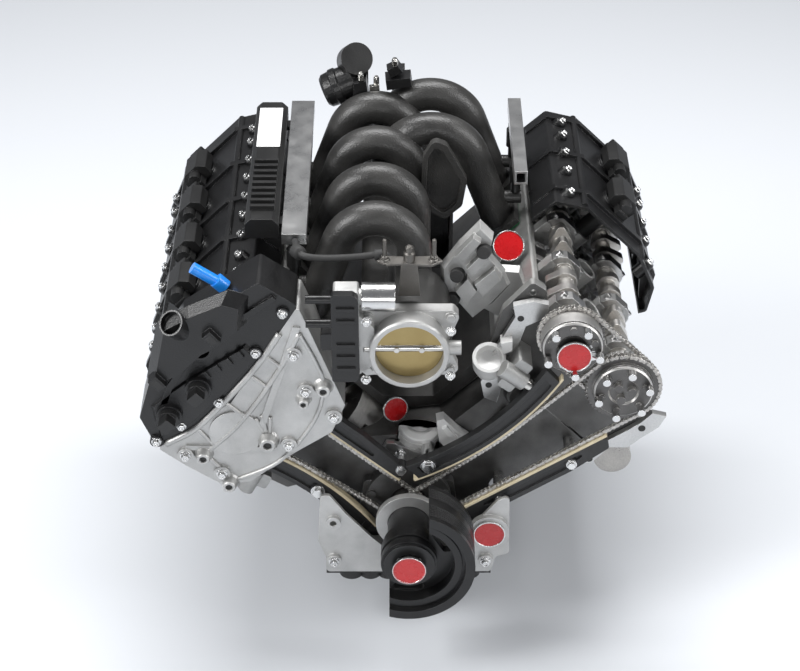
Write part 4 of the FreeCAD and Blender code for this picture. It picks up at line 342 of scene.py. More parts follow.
def chain_line(circles, step):
    """Points at equal steps along a taut line round circles (x, z, radius), taken anticlockwise from the
    front.  A negative radius is a shoe that presses on the line from outside."""
    stops = []
    for (x0, z0, r0), (x1, z1, r1) in zip(circles, circles[1:] + circles[:1]):
        normal = math.atan2(z1 - z0, x1 - x0) + math.acos((r1 - r0) / math.hypot(x1 - x0, z1 - z0))
        way = np.array((math.cos(normal), math.sin(normal)))
        stops.append((np.array((x0, z0)) - r0 * way, np.array((x1, z1)) - r1 * way))
    fine = []
    for index, (start, end) in enumerate(stops):
        fine += [start + (end - start) * share for share in np.linspace(0, 1, 200, endpoint=False)]
        x, z, radius = circles[(index + 1) % len(circles)]
        leave = stops[(index + 1) % len(circles)][0]
        first = math.atan2(end[1] - z, end[0] - x)
        last = math.atan2(leave[1] - z, leave[0] - x)
        turn = (last - first) % (2 * math.pi) if radius > 0 else -((first - last) % (2 * math.pi))
        for share in np.linspace(0, 1, 200, endpoint=False):
            angle = first + turn * share
            fine.append(np.array((x + abs(radius) * math.cos(angle), z + abs(radius) * math.sin(angle))))
    fine = np.array(fine + [fine[0]])
    along = np.concatenate(([0], np.cumsum(np.linalg.norm(np.diff(fine, axis=0), axis=1))))
    links = 2 * round(along[-1] / step / 2)
    spots = np.linspace(0, along[-1], links, endpoint=False)
    return np.stack((np.interp(spots, along, fine[:, 0]), np.interp(spots, along, fine[:, 1])), 1)


def new_piece(name, points, faces, made, body, slot, smooth=False):
    """Piece of mesh given in millimetres, with its finish, riding on a body."""
    mesh = bpy.data.meshes.new(name)
    mesh.from_pydata([tuple(value * MM for value in point) for point in points], [], faces)
    mesh.materials.append(made)
    shape = bmesh.new()
    shape.from_mesh(mesh)
    bmesh.ops.recalc_face_normals(shape, faces=shape.faces)
    shape.to_mesh(mesh)
    shape.free()
    mesh.polygons.foreach_set("use_smooth", [smooth] * len(mesh.polygons))
    piece = bpy.data.objects.new(name, mesh)
    bpy.context.scene.collection.objects.link(piece)
    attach(piece, body)
    return piece


def side_plate(a, b, y, thick, half_height, points, faces):
    """Waisted side plate between two pins."""
    run = (b - a) / np.linalg.norm(b - a)
    up = np.array((-run[1], run[0]))
    outline = []
    for centre, first in ((a, 90.0), (b, -90.0)):
        for step in range(5):
            angle = math.radians(first + step * 45.0)
            outline.append(centre + half_height * (math.cos(angle) * run + math.sin(angle) * up))
        outline.append((a + b) / 2 + up * half_height * (-0.62 if centre is a else 0.62))
    base = len(points)
    count = len(outline)
    for depth in (y, y + thick):
        points += [(spot[0], depth, spot[1]) for spot in outline]
    faces.append(tuple(base + i for i in range(count)))
    faces.append(tuple(base + count + i for i in reversed(range(count))))
    for i in range(count):
        j = (i + 1) % count
        faces.append((base + j, base + i, base + count + i, base + count + j))


def link_chain(name, node, circles):
    low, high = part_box(node)
    middle = (low.y + high.y) / 2 / MM
    half = (high.y - low.y) / 2 / MM
    pins = chain_line(circles, PITCH)
    points = []
    faces = []
    for index, pin in enumerate(pins):
        after = pins[(index + 1) % len(pins)]
        outer = index % 2 == 0
        for sign in (-1, 1):
            reach = half - 0.95 if outer else half - 2.05
            y = middle + sign * reach - 0.45
            side_plate(pin, after, y, 0.9, 2.75 if outer else 2.95, points, faces)
        base = len(points)
        for y in (middle - half, middle + half):
            for step in range(8):
                angle = math.radians(step * 45.0)
                points.append((pin[0] + 1.15 * math.cos(angle), y, pin[1] + 1.15 * math.sin(angle)))
        faces.append(tuple(base + i for i in range(8)))
        faces.append(tuple(base + 8 + i for i in reversed(range(8))))
        for i in range(8):
            j = (i + 1) % 8
            faces.append((base + j, base + i, base + 8 + i, base + 8 + j))
    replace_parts(new_piece(name, points, faces, chain_steel, ENGINE, "steel"), node)


def centre_of(node):
    low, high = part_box(node)
    return (low.x + high.x) / 2 / MM, (low.z + high.z) / 2 / MM


CRANK_PITCH = PITCH * 24 / (2 * math.pi)
CAM_PITCH = PITCH * 48 / (2 * math.pi)
LINK_PITCH = PITCH * 42 / (2 * math.pi)
SHOE_RADIUS = 420.0
SHOE_SAG = 9.0
for bank in ("left", "right"):
    x, z = centre_of("phaser_%s_exhaust" % bank)
    run = math.hypot(x, z)
    normal = math.atan2(-z, -x) + math.acos((CRANK_PITCH - CAM_PITCH) / run)
    inward = np.array((math.cos(normal), math.sin(normal)))
    begin = np.array((x, z)) - inward * CAM_PITCH
    end = -inward * CRANK_PITCH
    shoe = (begin + end) / 2 - inward * (SHOE_RADIUS - SHOE_SAG)
    link_chain("links_timing_" + bank, "timing_chain_" + bank,
               [(0.0, 0.0, CRANK_PITCH), (x, z, CAM_PITCH), (shoe[0], shoe[1], -SHOE_RADIUS)])
    near = centre_of("phaser_%s_intake" % bank)
    link_chain("links_cam_" + bank, "cam_chain_" + bank, [(x, z, LINK_PITCH), (*near, LINK_PITCH)])

# ---- Guides and tensioners ------------------------------------------------------------------------
# Black moulded nylon arms that carry cream wear strips; the tensioners are small aluminium castings.

black_nylon = plain_finish("black_nylon", (0.010, 0.010, 0.010), (0.026, 0.026, 0.027),
                           200.0, 90.0, 0.25, 0.3, 1200.0, 0.0001)
cream_nylon = plain_finish("cream_nylon", (0.50, 0.42, 0.27), (0.72, 0.64, 0.46),
                           60.0, 90.0, 0.2, 0.35, 900.0, 0.00006)


def solids_of(node):
    """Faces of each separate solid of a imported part, with the solid's lowest and highest corners in mm."""
    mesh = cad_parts[node].data
    places = {}
    owner = []

    def root(item):
        while owner[item] != item:
            owner[item] = owner[owner[item]]
            item = owner[item]
        return item
    ids = []
    for vertex in mesh.vertices:
        spot = tuple(round(value * 1e5) for value in vertex.co)
        if spot not in places:
            places[spot] = len(owner)
            owner.append(len(owner))
        ids.append(places[spot])
    for face in mesh.polygons:
        first = root(ids[face.vertices[0]])
        for corner in face.vertices[1:]:
            owner[root(ids[corner])] = first
    groups = {}
    for face in mesh.polygons:
        groups.setdefault(root(ids[face.vertices[0]]), []).append(face.index)
    found = []
    for faces in groups.values():
        corners = np.array([mesh.vertices[v].co for f in faces for v in mesh.polygons[f].vertices]) / MM
        found.append((faces, corners.min(0), corners.max(0)))
    return found


def dress_solids(node, usual, others):
    """Finish each solid of a part by its size and place; the tests get its lowest and highest corners."""
    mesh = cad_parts[node].data
    mesh.materials.clear()
    mesh.materials.append(usual)
    for made, test in others:
        mesh.materials.append(made)
    for faces, least, most in solids_of(node):
        for index, (made, test) in enumerate(others):
            if test(least, most):
                for face in faces:
                    mesh.polygons[face].material_index = index + 1


def is_strip(least, most):
    size = most - least
    return size[1] < 12.5 and max(size[0], size[2]) > 60.0


def is_bolt(least, most):
    size = most - least
    return max(size[0], size[2]) < 24.0


for bank in ("left", "right"):
    dress_solids("tensioner_arm_" + bank, black_nylon, [(cream_nylon, is_strip)])
    dress("tensioner_plunger_" + bank, ground)
dress_solids("chain_guides", black_nylon, [(cream_nylon, is_strip), (silver, is_bolt)])
dress("tensioner_bodies", head_casting)

# ---- Valve springs --------------------------------------------------------------------------------
# Coiled springs and pressed caps over the left bank's valves, where its cover is cut away.


def tube_mesh(line, radius, sides=8):
    """Tube along a line of points, with closed ends."""
    line = np.array(line, float)
    points = []
    faces = []
    runs = np.gradient(line, axis=0)
    runs /= np.linalg.norm(runs, axis=1)[:, None]
    across = np.cross(runs[0], (0.3, 0.2, 1.0))
    for index, spot in enumerate(line):
        across = across - runs[index] * across.dot(runs[index])
        across /= np.linalg.norm(across)
        other = np.cross(runs[index], across)
        for step in range(sides):
            angle = 2 * math.pi * step / sides
            points.append(tuple(spot + radius * (math.cos(angle) * across + math.sin(angle) * other)))
        if index:
            base = (index - 1) * sides
            for step in range(sides):
                after = (step + 1) % sides
                faces.append((base + step, base + after, base + sides + after, base + sides + step))
    faces.append(tuple(reversed(range(sides))))
    last = (len(line) - 1) * sides
    faces.append(tuple(last + step for step in range(sides)))
    return points, faces


def add_to(points, faces, more):
    base = len(points)
    points += more[0]
    faces += [tuple(base + corner for corner in face) for face in more[1]]


def lathe(foot, way, profile, sides=24):
    """Turned shape: profile of (radius, height) pairs along a direction."""
    way = np.array(way, float) / np.linalg.norm(way)
    across = np.cross(way, (0.31, 0.95, 0.11))
    across /= np.linalg.norm(across)
    other = np.cross(way, across)
    points = []
    faces = []
    for index, (radius, height) in enumerate(profile):
        for step in range(sides):
            angle = 2 * math.pi * step / sides
            spot = np.array(foot, float) + way * height
            points.append(tuple(spot + radius * (math.cos(angle) * across + math.sin(angle) * other)))
        if index:
            base = (index - 1) * sides
            for step in range(sides):
                after = (step + 1) % sides
                faces.append((base + step, base + after, base + sides + after, base + sides + step))
    faces.append(tuple(reversed(range(sides))))
    last = (len(profile) - 1) * sides
    faces.append(tuple(last + step for step in range(sides)))
    return points, faces


SPRING_WIRE = 1.7
CAP_RADIUS = 13.2
shadow_steel = machined_metal("shadow_steel", (0.02, 0.02, 0.02), (0.05, 0.05, 0.05), 0.5)
for kind, way in (("intake", (0.5446, 0.0, 0.8387)), ("exhaust", (0.8387, 0.0, 0.5446))):
    node = "valve_gear_left_" + kind
    dress_solids(node, spring_steel, [(shadow_steel, lambda least, most: 25.5 < (most - least)[1] < 27.5)])
    points = []
    faces = []
    caps = ([], [])
    for solid, least, most in solids_of(node):
        if not 25.5 < (most - least)[1] < 27.5:
            continue
        middle = (least + most) / 2
        sine = math.sqrt(1 - way[0] ** 2)
        length = ((most - least)[0] - 2 * CAP_RADIUS * sine) / way[0]
        foot = middle - np.array(way) * length / 2
        turns = 6.5
        axis = np.array(way)
        across = np.array((0.0, 1.0, 0.0))
        other = np.cross(axis, across)
        line = []
        for step in range(int(turns * 16) + 1):
            angle = 2 * math.pi * step / 16
            rise = SPRING_WIRE + (length - 3 - 2 * SPRING_WIRE) * step / (turns * 16)
            line.append(foot + axis * rise + 11.6 * (math.cos(angle) * across + math.sin(angle) * other))
        add_to(points, faces, tube_mesh(line, SPRING_WIRE, 7))
        top = foot + axis * (length - 3.2)
        add_to(*caps, lathe(top, way, ((CAP_RADIUS, 0), (CAP_RADIUS + 0.3, 1.0), (CAP_RADIUS, 3.0),
                                       (9.0, 3.5),
                                       (6.0, 5.0), (4.4, 5.2))))
    new_piece("springs_" + kind, points, faces, spring_steel, ENGINE, "steel", True)
    new_piece("spring_caps_" + kind, *caps, ground, ENGINE, "steel")

# ---- Front covers, pump and pan -------------------------------------------------------------------
# Die-cast covers with a fine satin skin, over a black moulded oil pan.

cover_casting = cast_metal("cover_casting", (0.36, 0.36, 0.355), (0.66, 0.66, 0.65), 0.42, 0.8, 0.00016, 0.25)
pan_plastic = plain_finish("pan_plastic", (0.008, 0.008, 0.008), (0.02, 0.02, 0.02),
                           150.0, 60.0, 0.25, 0.35, 900.0, 0.00015)
dress("front_cover_right", cover_casting)
dress("front_cover_lower", cover_casting)
# The oil pump takes the darker wall copy of the casting, painted shade.
dress("oil_pump", wall_painted_shade_casting)
dress("oil_pan", pan_plastic)

# ---- Cam covers and coils -------------------------------------------------------------------------
# Glass-filled black nylon, satin with a fine leathery grain and pale flecks of filler.


def moulded_black(name, dark, pale, rough, depth):
    made, place, rounded, edge = begin_finish(name)
    pebble = place.node("ShaderNodeTexVoronoi", {"feature": "SMOOTH_F1"},
                        {"Vector": place, "Scale": 620.0}, 0)
    flow = place.cloud(22.0, 5.0)
    fleck = place.flecks(1300.0, 0.02, 0.16)
    tone = (flow * 0.45 + fleck * 0.75 + edge * 0.5 - 0.05).clamped().between(dark, pale)
    return end_finish(made, rounded, 0.0, tone, flow * 0.25 + (rough - 0.12) - edge * 0.1, pebble, depth)


cover_nylon = moulded_black("cover_nylon", (0.004, 0.004, 0.0042), (0.020, 0.020, 0.021), 0.32, 0.00022)
coil_nylon = moulded_black("coil_nylon", (0.008, 0.008, 0.008), (0.030, 0.030, 0.030), 0.34, 0.0001)
for bank in ("left", "right"):
    dress("cam_cover_" + bank, cover_nylon)
dress("ignition_coils", coil_nylon)

# ---- Intake manifold ------------------------------------------------------------------------------
# Welded shells of glass-filled nylon: eight arched runners round a plenum, cut away at one corner.

# The manifold's nylon is a far paler copy of the cam covers' nylon: its pale flecks and clouds are partly
# real filler and partly a painted sheen of the soft boxes on the runners.
sheen_and_fleck_nylon = moulded_black("sheen_and_fleck_nylon", (0.008, 0.008, 0.008), (0.115, 0.112, 0.106), 0.36, 0.00034)
green_rubber = plain_finish("green_gasket", (0.004, 0.16, 0.05), (0.01, 0.28, 0.09),
                            90.0, 60.0, 0.2, 0.4, 600.0, 0.0001)
dress("intake_manifold", sheen_and_fleck_nylon)
dress("manifold_gaskets", green_rubber)

# ---- Throttle -------------------------------------------------------------------------------------
# Die-cast body with a machined 87 mm bore; the plate is brass-coloured and its drive hangs on one side.

brass = machined_metal("brass_plate", (0.26, 0.19, 0.08), (0.44, 0.35, 0.17), 0.34, 0.00003, (14.0, 1.0, 1.0))
dress("throttle_body", cover_casting)
dress_solids("throttle_actuator", cover_nylon, [(silver, lambda least, most: least[0] > -70.0)])


def on_shaft(at, n):
    """Test for the faces of the throttle's shaft, which stand proud of the plate."""
    return (np.abs(at[:, 2] - 286.0) < 5.3) & (np.abs(at[:, 1] + 534.0) > 1.6)


dress("throttle_plate", brass, (ground, on_shaft))

# ---- Fuel rails, injectors and module -------------------------------------------------------------
# Drawn aluminium rails; the module is a finned black box with a bare white plate.

rail_metal = machined_metal("rail_metal", (0.48, 0.48, 0.48), (0.74, 0.74, 0.73), 0.3, 0.00003,
                            (1.0, 14.0, 1.0))
white_plate = plain_finish("white_plate", (0.62, 0.62, 0.62), (0.78, 0.78, 0.78),
                           40.0, 90.0, 0.2, 0.35, 700.0, 0.00003)
dress("fuel_rails", rail_metal)
dress("injectors", coil_nylon)
dress("control_module", coil_nylon, (white_plate, lambda at, n: (n[:, 2] > 0.9) & (at[:, 2] > 402.2) &
                                     (at[:, 2] < 403.5)))

# ---- Screws of the covers -------------------------------------------------------------------------
# Flanged hexagon screws in the bosses of the covers.


def on_bank(side, across, along, up):
    """Model point, in mm, of a place on a bank: across and up are measured square to and along its bores."""
    root = math.sqrt(0.5)
    return (side * (up + across) * root, along, (up - across) * root)


def hex_screw(foot, way, size):
    """Flange, hexagon and shallow recess of one screw."""
    flange = lathe(foot, way, ((size * 1.35, 0), (size * 1.35, size * 0.18), (size * 1.1, size * 0.36)), 20)
    tall = np.array(foot, float) + np.array(way, float) / np.linalg.norm(way) * size * 0.3
    head = lathe(tall, way, ((size, 0), (size, size * 0.75), (size * 0.86, size * 0.9),
                             (size * 0.5, size * 0.9),
                             (size * 0.42, size * 0.7)), 6)
    points = []
    faces = []
    add_to(points, faces, flange)
    add_to(points, faces, head)
    return points, faces


FRONT = -464.0
FACE = FRONT - 70.0
points = []
faces = []
for across, up in ((-92, 300), (-62, 250), (-58, 196), (16, 206), (112, 236), (124, 290)):
    add_to(points, faces, hex_screw(on_bank(-1, across, FACE - 4.6, up), (0, -1, 0), 5.6))
for across, up in ((-128, 353), (-60, 336), (30, 317), (92, 326), (134, 332)):
    add_to(points, faces, hex_screw(on_bank(-1, across, FACE - 3.6, up), (0, -1, 0), 5.0))
for x, z in ((-101, -62), (104, -62)):
    add_to(points, faces, hex_screw((x, FACE - 5.6, z), (0, -1, 0), 5.6))
new_piece("cover_screws", points, faces, silver, ENGINE, "steel")

# ---- Screws and bosses of the cam covers ----------------------------------------------------------
# Shouldered screws stand in moulded bosses along both edges of each cam cover.

boss_points = []
boss_faces = []
points = []
faces = []
for side, stations in ((-1, (20, 62, 112, 162, 212, 262, 312, 362, 400)), (1, (222, 282, 332, 382, 420))):
    outwards = on_bank(side, 0, 0, 1)
    for station in stations:
        for across, height in ((-86.0, 402.0), (76.0, 402.0)):
            foot = on_bank(side, across, FRONT + station, height - 14)
            add_to(boss_points, boss_faces, lathe(foot, outwards,
                                                  ((9.5, -14), (9.0, 10), (7.5, 12.5), (5.0, 12.5)), 20))
            top = on_bank(side, across, FRONT + station, height - 2.5)
            add_to(points, faces, hex_screw(top, outwards, 4.4))
new_piece("cam_cover_bosses", boss_points, boss_faces, cover_nylon, ENGINE, "black_composite")
new_piece("cam_cover_screws", points, faces, silver, ENGINE, "steel")

# ---- Fuel pipe, bracket and clip over the throttle ------------------------------------------------
# Black nylon pipe with a rubber elbow, a pressed bracket with two studs and a spring clip.


def smooth_line(corners, steps=10):
    """Rounded line through a few points."""
    corners = [np.array(corner, float) for corner in corners]
    corners = [2 * corners[0] - corners[1]] + corners + [2 * corners[-1] - corners[-2]]
    line = []
    for a, b, c, d in zip(corners, corners[1:], corners[2:], corners[3:]):
        for step in range(steps):
            t = step / steps
            line.append(0.5 * (2 * b + (c - a) * t + (2 * a - 5 * b + 4 * c - d) * t ** 2 +
                               (3 * b - a - 3 * c + d) * t ** 3))
    line.append(corners[-2])
    return line


def pipe_piece(name, corners, radius, made, slot, collars=()):
    points, faces = tube_mesh(smooth_line(corners), radius, 14)
    points = list(points)
    for foot, way, profile in collars:
        add_to(points, faces, lathe(foot, way, profile))
    return new_piece(name, points, faces, made, ENGINE, slot, True)


pipe_piece("fuel_pipe", ((-146, -430, 380), (-142, -462, 388), (-132, -478, 388), (-106, -480, 386),
                         (-66, -480, 388),
                         (-34, -480, 392), (-24, -479, 384), (-22, -476, 368), (-22, -470, 345)), 4.6, rubber_and_hole_shade,
           "black_composite", (((-141, -468, 388), (0.45, -0.7, 0.1),
                                ((8.5, -7), (9.0, -5), (9.0, 5), (8.5, 7))),
                               ((-38, -480, 391.5), (1, 0, 0.08),
                                ((6.5, -6), (7.0, -5), (7.0, 5), (6.5, 6)))))


def plate(outline, way, thick):
    """Flat plate: its outline's points, and how far it reaches along a direction."""
    shift = np.array(way, float) * thick
    count = len(outline)
    points = [tuple(point) for point in outline] + [tuple(np.array(point) + shift) for point in outline]
    faces = [tuple(reversed(range(count))), tuple(range(count, 2 * count))]
    for i in range(count):
        j = (i + 1) % count
        faces.append((i, j, count + j, count + i))
    return points, faces


def panel(outline, face, height, inset=0.93):
    """Raised panel on a front face: its foot's outline (x, z), drawn in towards its middle at the top."""
    foot = np.array(outline, float)
    top = foot.mean(0) + (foot - foot.mean(0)) * inset
    count = len(foot)
    points = [(x, face, z) for x, z in foot] + [(x, face - height, z) for x, z in top]
    faces = [tuple(range(count)), tuple(range(count, 2 * count))]
    faces += [(i, (i + 1) % count, count + (i + 1) % count, count + i) for i in range(count)]
    return points, faces


points = []
faces = []
add_to(points, faces, plate([(-40, -500, 392), (-28, -508, 392), (-8, -506, 392), (8, -508, 392),
                             (28, -510, 392),
                             (42, -500, 392), (34, -488, 392), (8, -490, 392), (-8, -490, 392),
                             (-32, -488, 392)],
                            (0, 0, 1), 3.0))
add_to(points, faces, plate([(-14, -500, 342), (14, -500, 342), (10, -500, 394), (-10, -500, 394)],
                            (0, 1, 0), 3.0))
for x in (-31.0, 31.0):
    add_to(points, faces, hex_screw((x, -498, 395), (0, 0, 1), 5.0))
    add_to(points, faces, lathe((x, -498, 395), (0, 0, 1), ((2.9, 0), (2.9, 28), (2.2, 30)), 16))
add_to(points, faces, lathe((0, -500, 395), (0, 0, 1),
                            ((7.0, 0), (7.5, 2), (7.5, 12), (5.5, 14), (5.5, 20), (3.0, 22))))
new_piece("top_bracket", points, faces, forged, ENGINE, "steel")

# ---- Cut-away pieces behind the chains ------------------------------------------------------------
# Sectioned bulkhead with a pale combustion dome, a machined arm and the end of a steel oil pipe, shown
# through the window of the front wall.  The section faces are painted pale.

section_pale = cast_metal("section_face", (0.55, 0.55, 0.54), (0.80, 0.80, 0.79), 0.4, 0.3, 0.00006, 0.1)
points, faces = lathe((12.0, -447.0, 82.0), (0.10, -0.34, 0.92),
                      ((29, 0), (29, 9), (27.6, 9), (27.6, 11), (29, 11), (29, 22), (27.6, 22), (27.6, 24),
                       (29, 24),
                       (29, 31), (28, 32.5), (20, 33.5), (14, 31.5), (0.1, 31)), 48)
points = [(x, min(y, FRONT - 1.5), z) for x, y, z in points]
new_piece("section_piston", points, faces, section_pale, ENGINE, "aluminium")
points, faces = panel([(-38, 73), (-30, 90), (-20, 90), (8, 76), (56, 76), (75, 60), (50, 44), (25, 49),
                       (-5, 54),
                       (-26, 62)], FRONT - 2.0, 9.0, 0.98)
new_piece("section_bulkhead", points, faces, milled_face, ENGINE, "aluminium")
points, faces = panel([(36, 133), (46, 136), (64, 116), (89, 95), (96, 84), (79, 63), (54, 81), (40, 98)],
                      FRONT - 2.0, 16.0, 0.97)
for outline in ([(44, 122), (50, 126), (66, 106), (58, 100)], [(70, 98), (76, 101), (86, 90), (80, 84)]):
    add_to(points, faces, panel(outline, FRONT - 18.0, 4.0, 0.9))
new_piece("section_arm", points, faces, section_pale, ENGINE, "aluminium")
# Dark discs in three holes of the section paint the shade inside them.
points = []
faces = []
for x, z in ((11.0, 62.0), (31.0, 71.0)):
    add_to(points, faces, lathe((x, FRONT - 10.6, z), (0, -1, 0), ((4.6, 0), (4.6, 1.0))))
add_to(points, faces, lathe((58.0, FRONT - 18.0, 84.0), (0, -1, 0), ((5.0, 0), (5.0, 0.9))))
new_piece("section_hole_shade", points, faces, rubber_and_hole_shade, ENGINE, "black_composite")
points, faces = hex_screw((-11, FRONT - 11.0, 73), (0, -1, 0), 5.2)
new_piece("section_screw", points, faces, silver, ENGINE, "steel")
pipe_piece("oil_pipe", ((86, -468, 74), (96, -470, 90), (114, -470, 116), (132, -470, 142)), 5.5, ground,
           "steel")
pipe_piece("oil_pipe_thin", ((104, -468, 76), (112, -470, 92), (128, -470, 118), (142, -470, 140)), 3.2,
           ground, "steel")

# ---- Relief of the right front cover --------------------------------------------------------------
# Curved ribs and screw bosses of the silver casting; humps, a vent pipe and two plugs on the black part.


def rib(corners, radius, points, faces):
    """Rounded rib along a smooth line (x, z) on the front face of the cover."""
    line = smooth_line([(x, FACE - 1.0, z) for x, z in corners], 6)
    add_to(points, faces, tube_mesh(line, radius, 10))


points = []
faces = []
rib([(-318, 134), (-277, 160), (-239, 202), (-205, 244), (-180, 281), (-164, 308)], 4.5, points, faces)
rib([(-268, 118), (-229, 157), (-199, 197), (-175, 237), (-156, 271), (-139, 309)], 3.6, points, faces)
for corners in ([(-277, 161), (-254, 132)], [(-239, 203), (-213, 178)], [(-205, 245), (-181, 224)],
                [(-184, 275), (-163, 256)], [(-199, 176), (-188, 152)], [(-191, 181), (-185, 152)],
                [(-180, 178), (-181, 152)], [(-139, 309), (-118, 262), (-110, 225), (-124, 170),
                                             (-170, 106), (-230, 74)],
                [(-262, 112), (-246, 92), (-237, 78)]):
    rib(corners, 2.8, points, faces)
new_piece("cover_ribs", points, faces, cover_casting, ENGINE, "aluminium", True)
points = []
faces = []
# Dark discs at the bottom of the bosses' recesses paint the shade inside them; so do dark patches in the two
# plugs below.
hollows = []
hollow_faces = []
for (x, z), size in (((-184, 140), 13.0), ((-269, 118), 11.0), ((-237, 72), 11.0), ((-136, 206), 8.5),
                     ((-110, 226), 11.0)):
    add_to(points, faces, lathe((x, FACE + 1.0, z), (0, -1, 0),
                                ((size + 3, 0), (size, 4), (size * 0.8, 14), (size * 0.7, 15.5),
                                                                 (size * 0.45, 15.5), (size * 0.4, 12))))
    add_to(hollows, hollow_faces, lathe((x, FACE - 11.5, z), (0, -1, 0),
                                        ((size * 0.38, 0), (size * 0.38, 0.6)), 16))
new_piece("cover_bosses", points, faces, cover_casting, ENGINE, "aluminium")
points = []
faces = []
add_to(points, faces, panel([(-318, 326), (-278, 350), (-226, 374), (-200, 366), (-204, 325), (-234, 296),
                             (-262, 280),
                             (-296, 243), (-328, 226), (-336, 240)], FACE + 1.0, 15.0, 0.8))
add_to(points, faces, panel([(-292, 232), (-206, 294), (-190, 276), (-238, 216), (-285, 166), (-326, 146),
                             (-334, 196)],
                            FACE + 1.0, 6.0, 0.93))
for share in (0.15, 0.32, 0.49, 0.66, 0.83):
    x = -292 + 86 * share
    z = 232 + 62 * share
    add_to(points, faces, panel([(x, z), (x + 5, z + 3.5), (x + 12, z - 7), (x + 7, z - 10)], FACE - 4.0,
                                4.5, 0.9))
add_to(points, faces, lathe((-290, FACE - 4.0, 322), (-0.42, -0.62, 0.66),
                            ((19, -16), (17, 4), (17, 20), (14.5, 20), (14.5, 6), (0.1, 5)), 28))
for x, z in ((-248, 314), (-320, 246)):
    add_to(points, faces, panel([(x - 13, z + 3), (x - 2, z + 13), (x + 12, z - 4), (x + 2, z - 13)],
                                FACE - 8.0, 16.0, 0.92))
new_piece("cover_humps", points, faces, cover_nylon, ENGINE, "black_composite")
# Dark patches in the mouths of the two plugs paint the shade inside them.
for x, z in ((-248, 314), (-320, 246)):
    add_to(hollows, hollow_faces, panel([(x - 8, z + 2), (x - 1, z + 8), (x + 8, z - 3), (x + 1, z - 8)],
                                        FACE - 23.7, 0.8, 0.98))
new_piece("cover_hollow_shade", hollows, hollow_faces, rubber_and_hole_shade, ENGINE, "black_composite")

# ---- Cut front of the left head --------------------------------------------------------------------
# Machined strip with its two dowel holes, a port cut open in a C, the solenoid block and the port wall.

points, faces = panel([(160, 319), (180, 314), (179, 295), (151, 280), (120, 176), (116, 158), (99, 166),
                       (94, 191),
                       (108, 236), (137, 295), (134, 312)], FRONT - 4.0, 9.0, 0.99)
new_piece("head_strip", points, faces, milled_face, ENGINE, "aluminium")
points = []
faces = []
add_to(points, faces, lathe((104, -470, 206), (0.0, -0.5, 0.86),
                            ((11, -6), (17, 4), (21, 18), (22, 40), (17, 40), (15, 30),
                                                                  (0.1, 26)), 32))
add_to(points, faces, panel([(118, 262), (134, 266), (134, 250), (122, 244)], FRONT - 6.0, 20.0, 0.95))
new_piece("cut_port", points, faces, section_pale, ENGINE, "aluminium", False)
points = []
faces = []
add_to(points, faces, panel([(150, 190), (178, 198), (186, 170), (167, 142), (150, 146)], FRONT - 8.0,
                            16.0, 0.92))
add_to(points, faces, panel([(158, 184), (174, 188), (178, 170), (164, 160)], FRONT - 24.0, 9.0, 0.9))
add_to(points, faces, lathe((138, FRONT - 4.0, 168), (0.2, -0.9, 0.3),
                            ((13, 0), (13, 16), (10, 19), (0.1, 19))))
# The solenoid block takes the darker wall copy of the casting, painted shade.
new_piece("solenoid_block", points, faces, wall_painted_shade_casting, ENGINE, "steel")
points = []
faces = []
for x, z in ((154, 150), (180, 176), (176, 194)):
    add_to(points, faces, hex_screw((x, FRONT - 23.0, z), (0, -1, 0), 3.6))
new_piece("solenoid_screws", points, faces, silver, ENGINE, "steel")
points, faces = panel([(293, 112), (309, 124), (324, 140), (343, 135), (334, 117), (310, 98), (294, 83),
                       (269, 83),
                       (245, 56), (224, 56), (236, 72), (262, 92)], FRONT - 3.0, 9.0, 0.99)
new_piece("guide_flange", points, faces, milled_face, ENGINE, "aluminium")
# Dark discs in the dowel holes paint the shade inside them.
points = []
faces = []
for x, z in ((144, 292), (105, 187)):
    add_to(points, faces, lathe((x, FRONT - 12.4, z), (0, -1, 0), ((4.4, 0), (4.4, 0.9)), 20))
for x, z in ((311, 115), (243, 64)):
    add_to(points, faces, lathe((x, FRONT - 11.4, z), (0, -1, 0), ((5.0, 0), (5.0, 0.9)), 20))
new_piece("dowel_hole_shade", points, faces, rubber_and_hole_shade, ENGINE, "black_composite")

# ---- Port wall of the valley ----------------------------------------------------------------------
# Cast ridges between the intake ports of the left head, seen through the cut-away corner of the manifold.

points = []
faces = []
for start, outline in ((-404, [(41, 330), (65, 366), (92, 398), (110, 378), (104, 351), (126, 322),
                               (134, 302), (112, 273),
                               (84, 246), (64, 272), (44, 258)]),
                       (-414, [(58, 352), (84, 384), (94, 376), (70, 344)]),
                       (-414, [(74, 334), (98, 362), (104, 348), (82, 322)]),
                       (-414, [(84, 310), (112, 336), (122, 318), (96, 290)]),
                       (-414, [(60, 300), (76, 322), (90, 300), (76, 276)]),
                       (-396, [(118, 324), (132, 300), (110, 271), (96, 260), (118, 246), (136, 268),
                               (156, 292),
                               (146, 322)])):
    add_to(points, faces, panel(outline, start, 12.0, 0.9))
new_piece("port_wall", points, faces, head_casting, ENGINE, "aluminium")
# Dark plugs in the mouths of the ports paint the shade inside them.
points = []
faces = []
for x, z in ((98, 358), (64, 322), (58, 284)):
    add_to(points, faces, lathe((x, -416, z), (-0.2, -1, 0.2), ((10, 0), (9, 10.5), (8, 11)), 24))
new_piece("port_mouth_shade", points, faces, rubber_and_hole_shade, ENGINE, "black_composite")

# ---- Screws of the phasers and the throttle -------------------------------------------------------
# Socket screws round each open phaser, and the four flanged screws of the throttle.

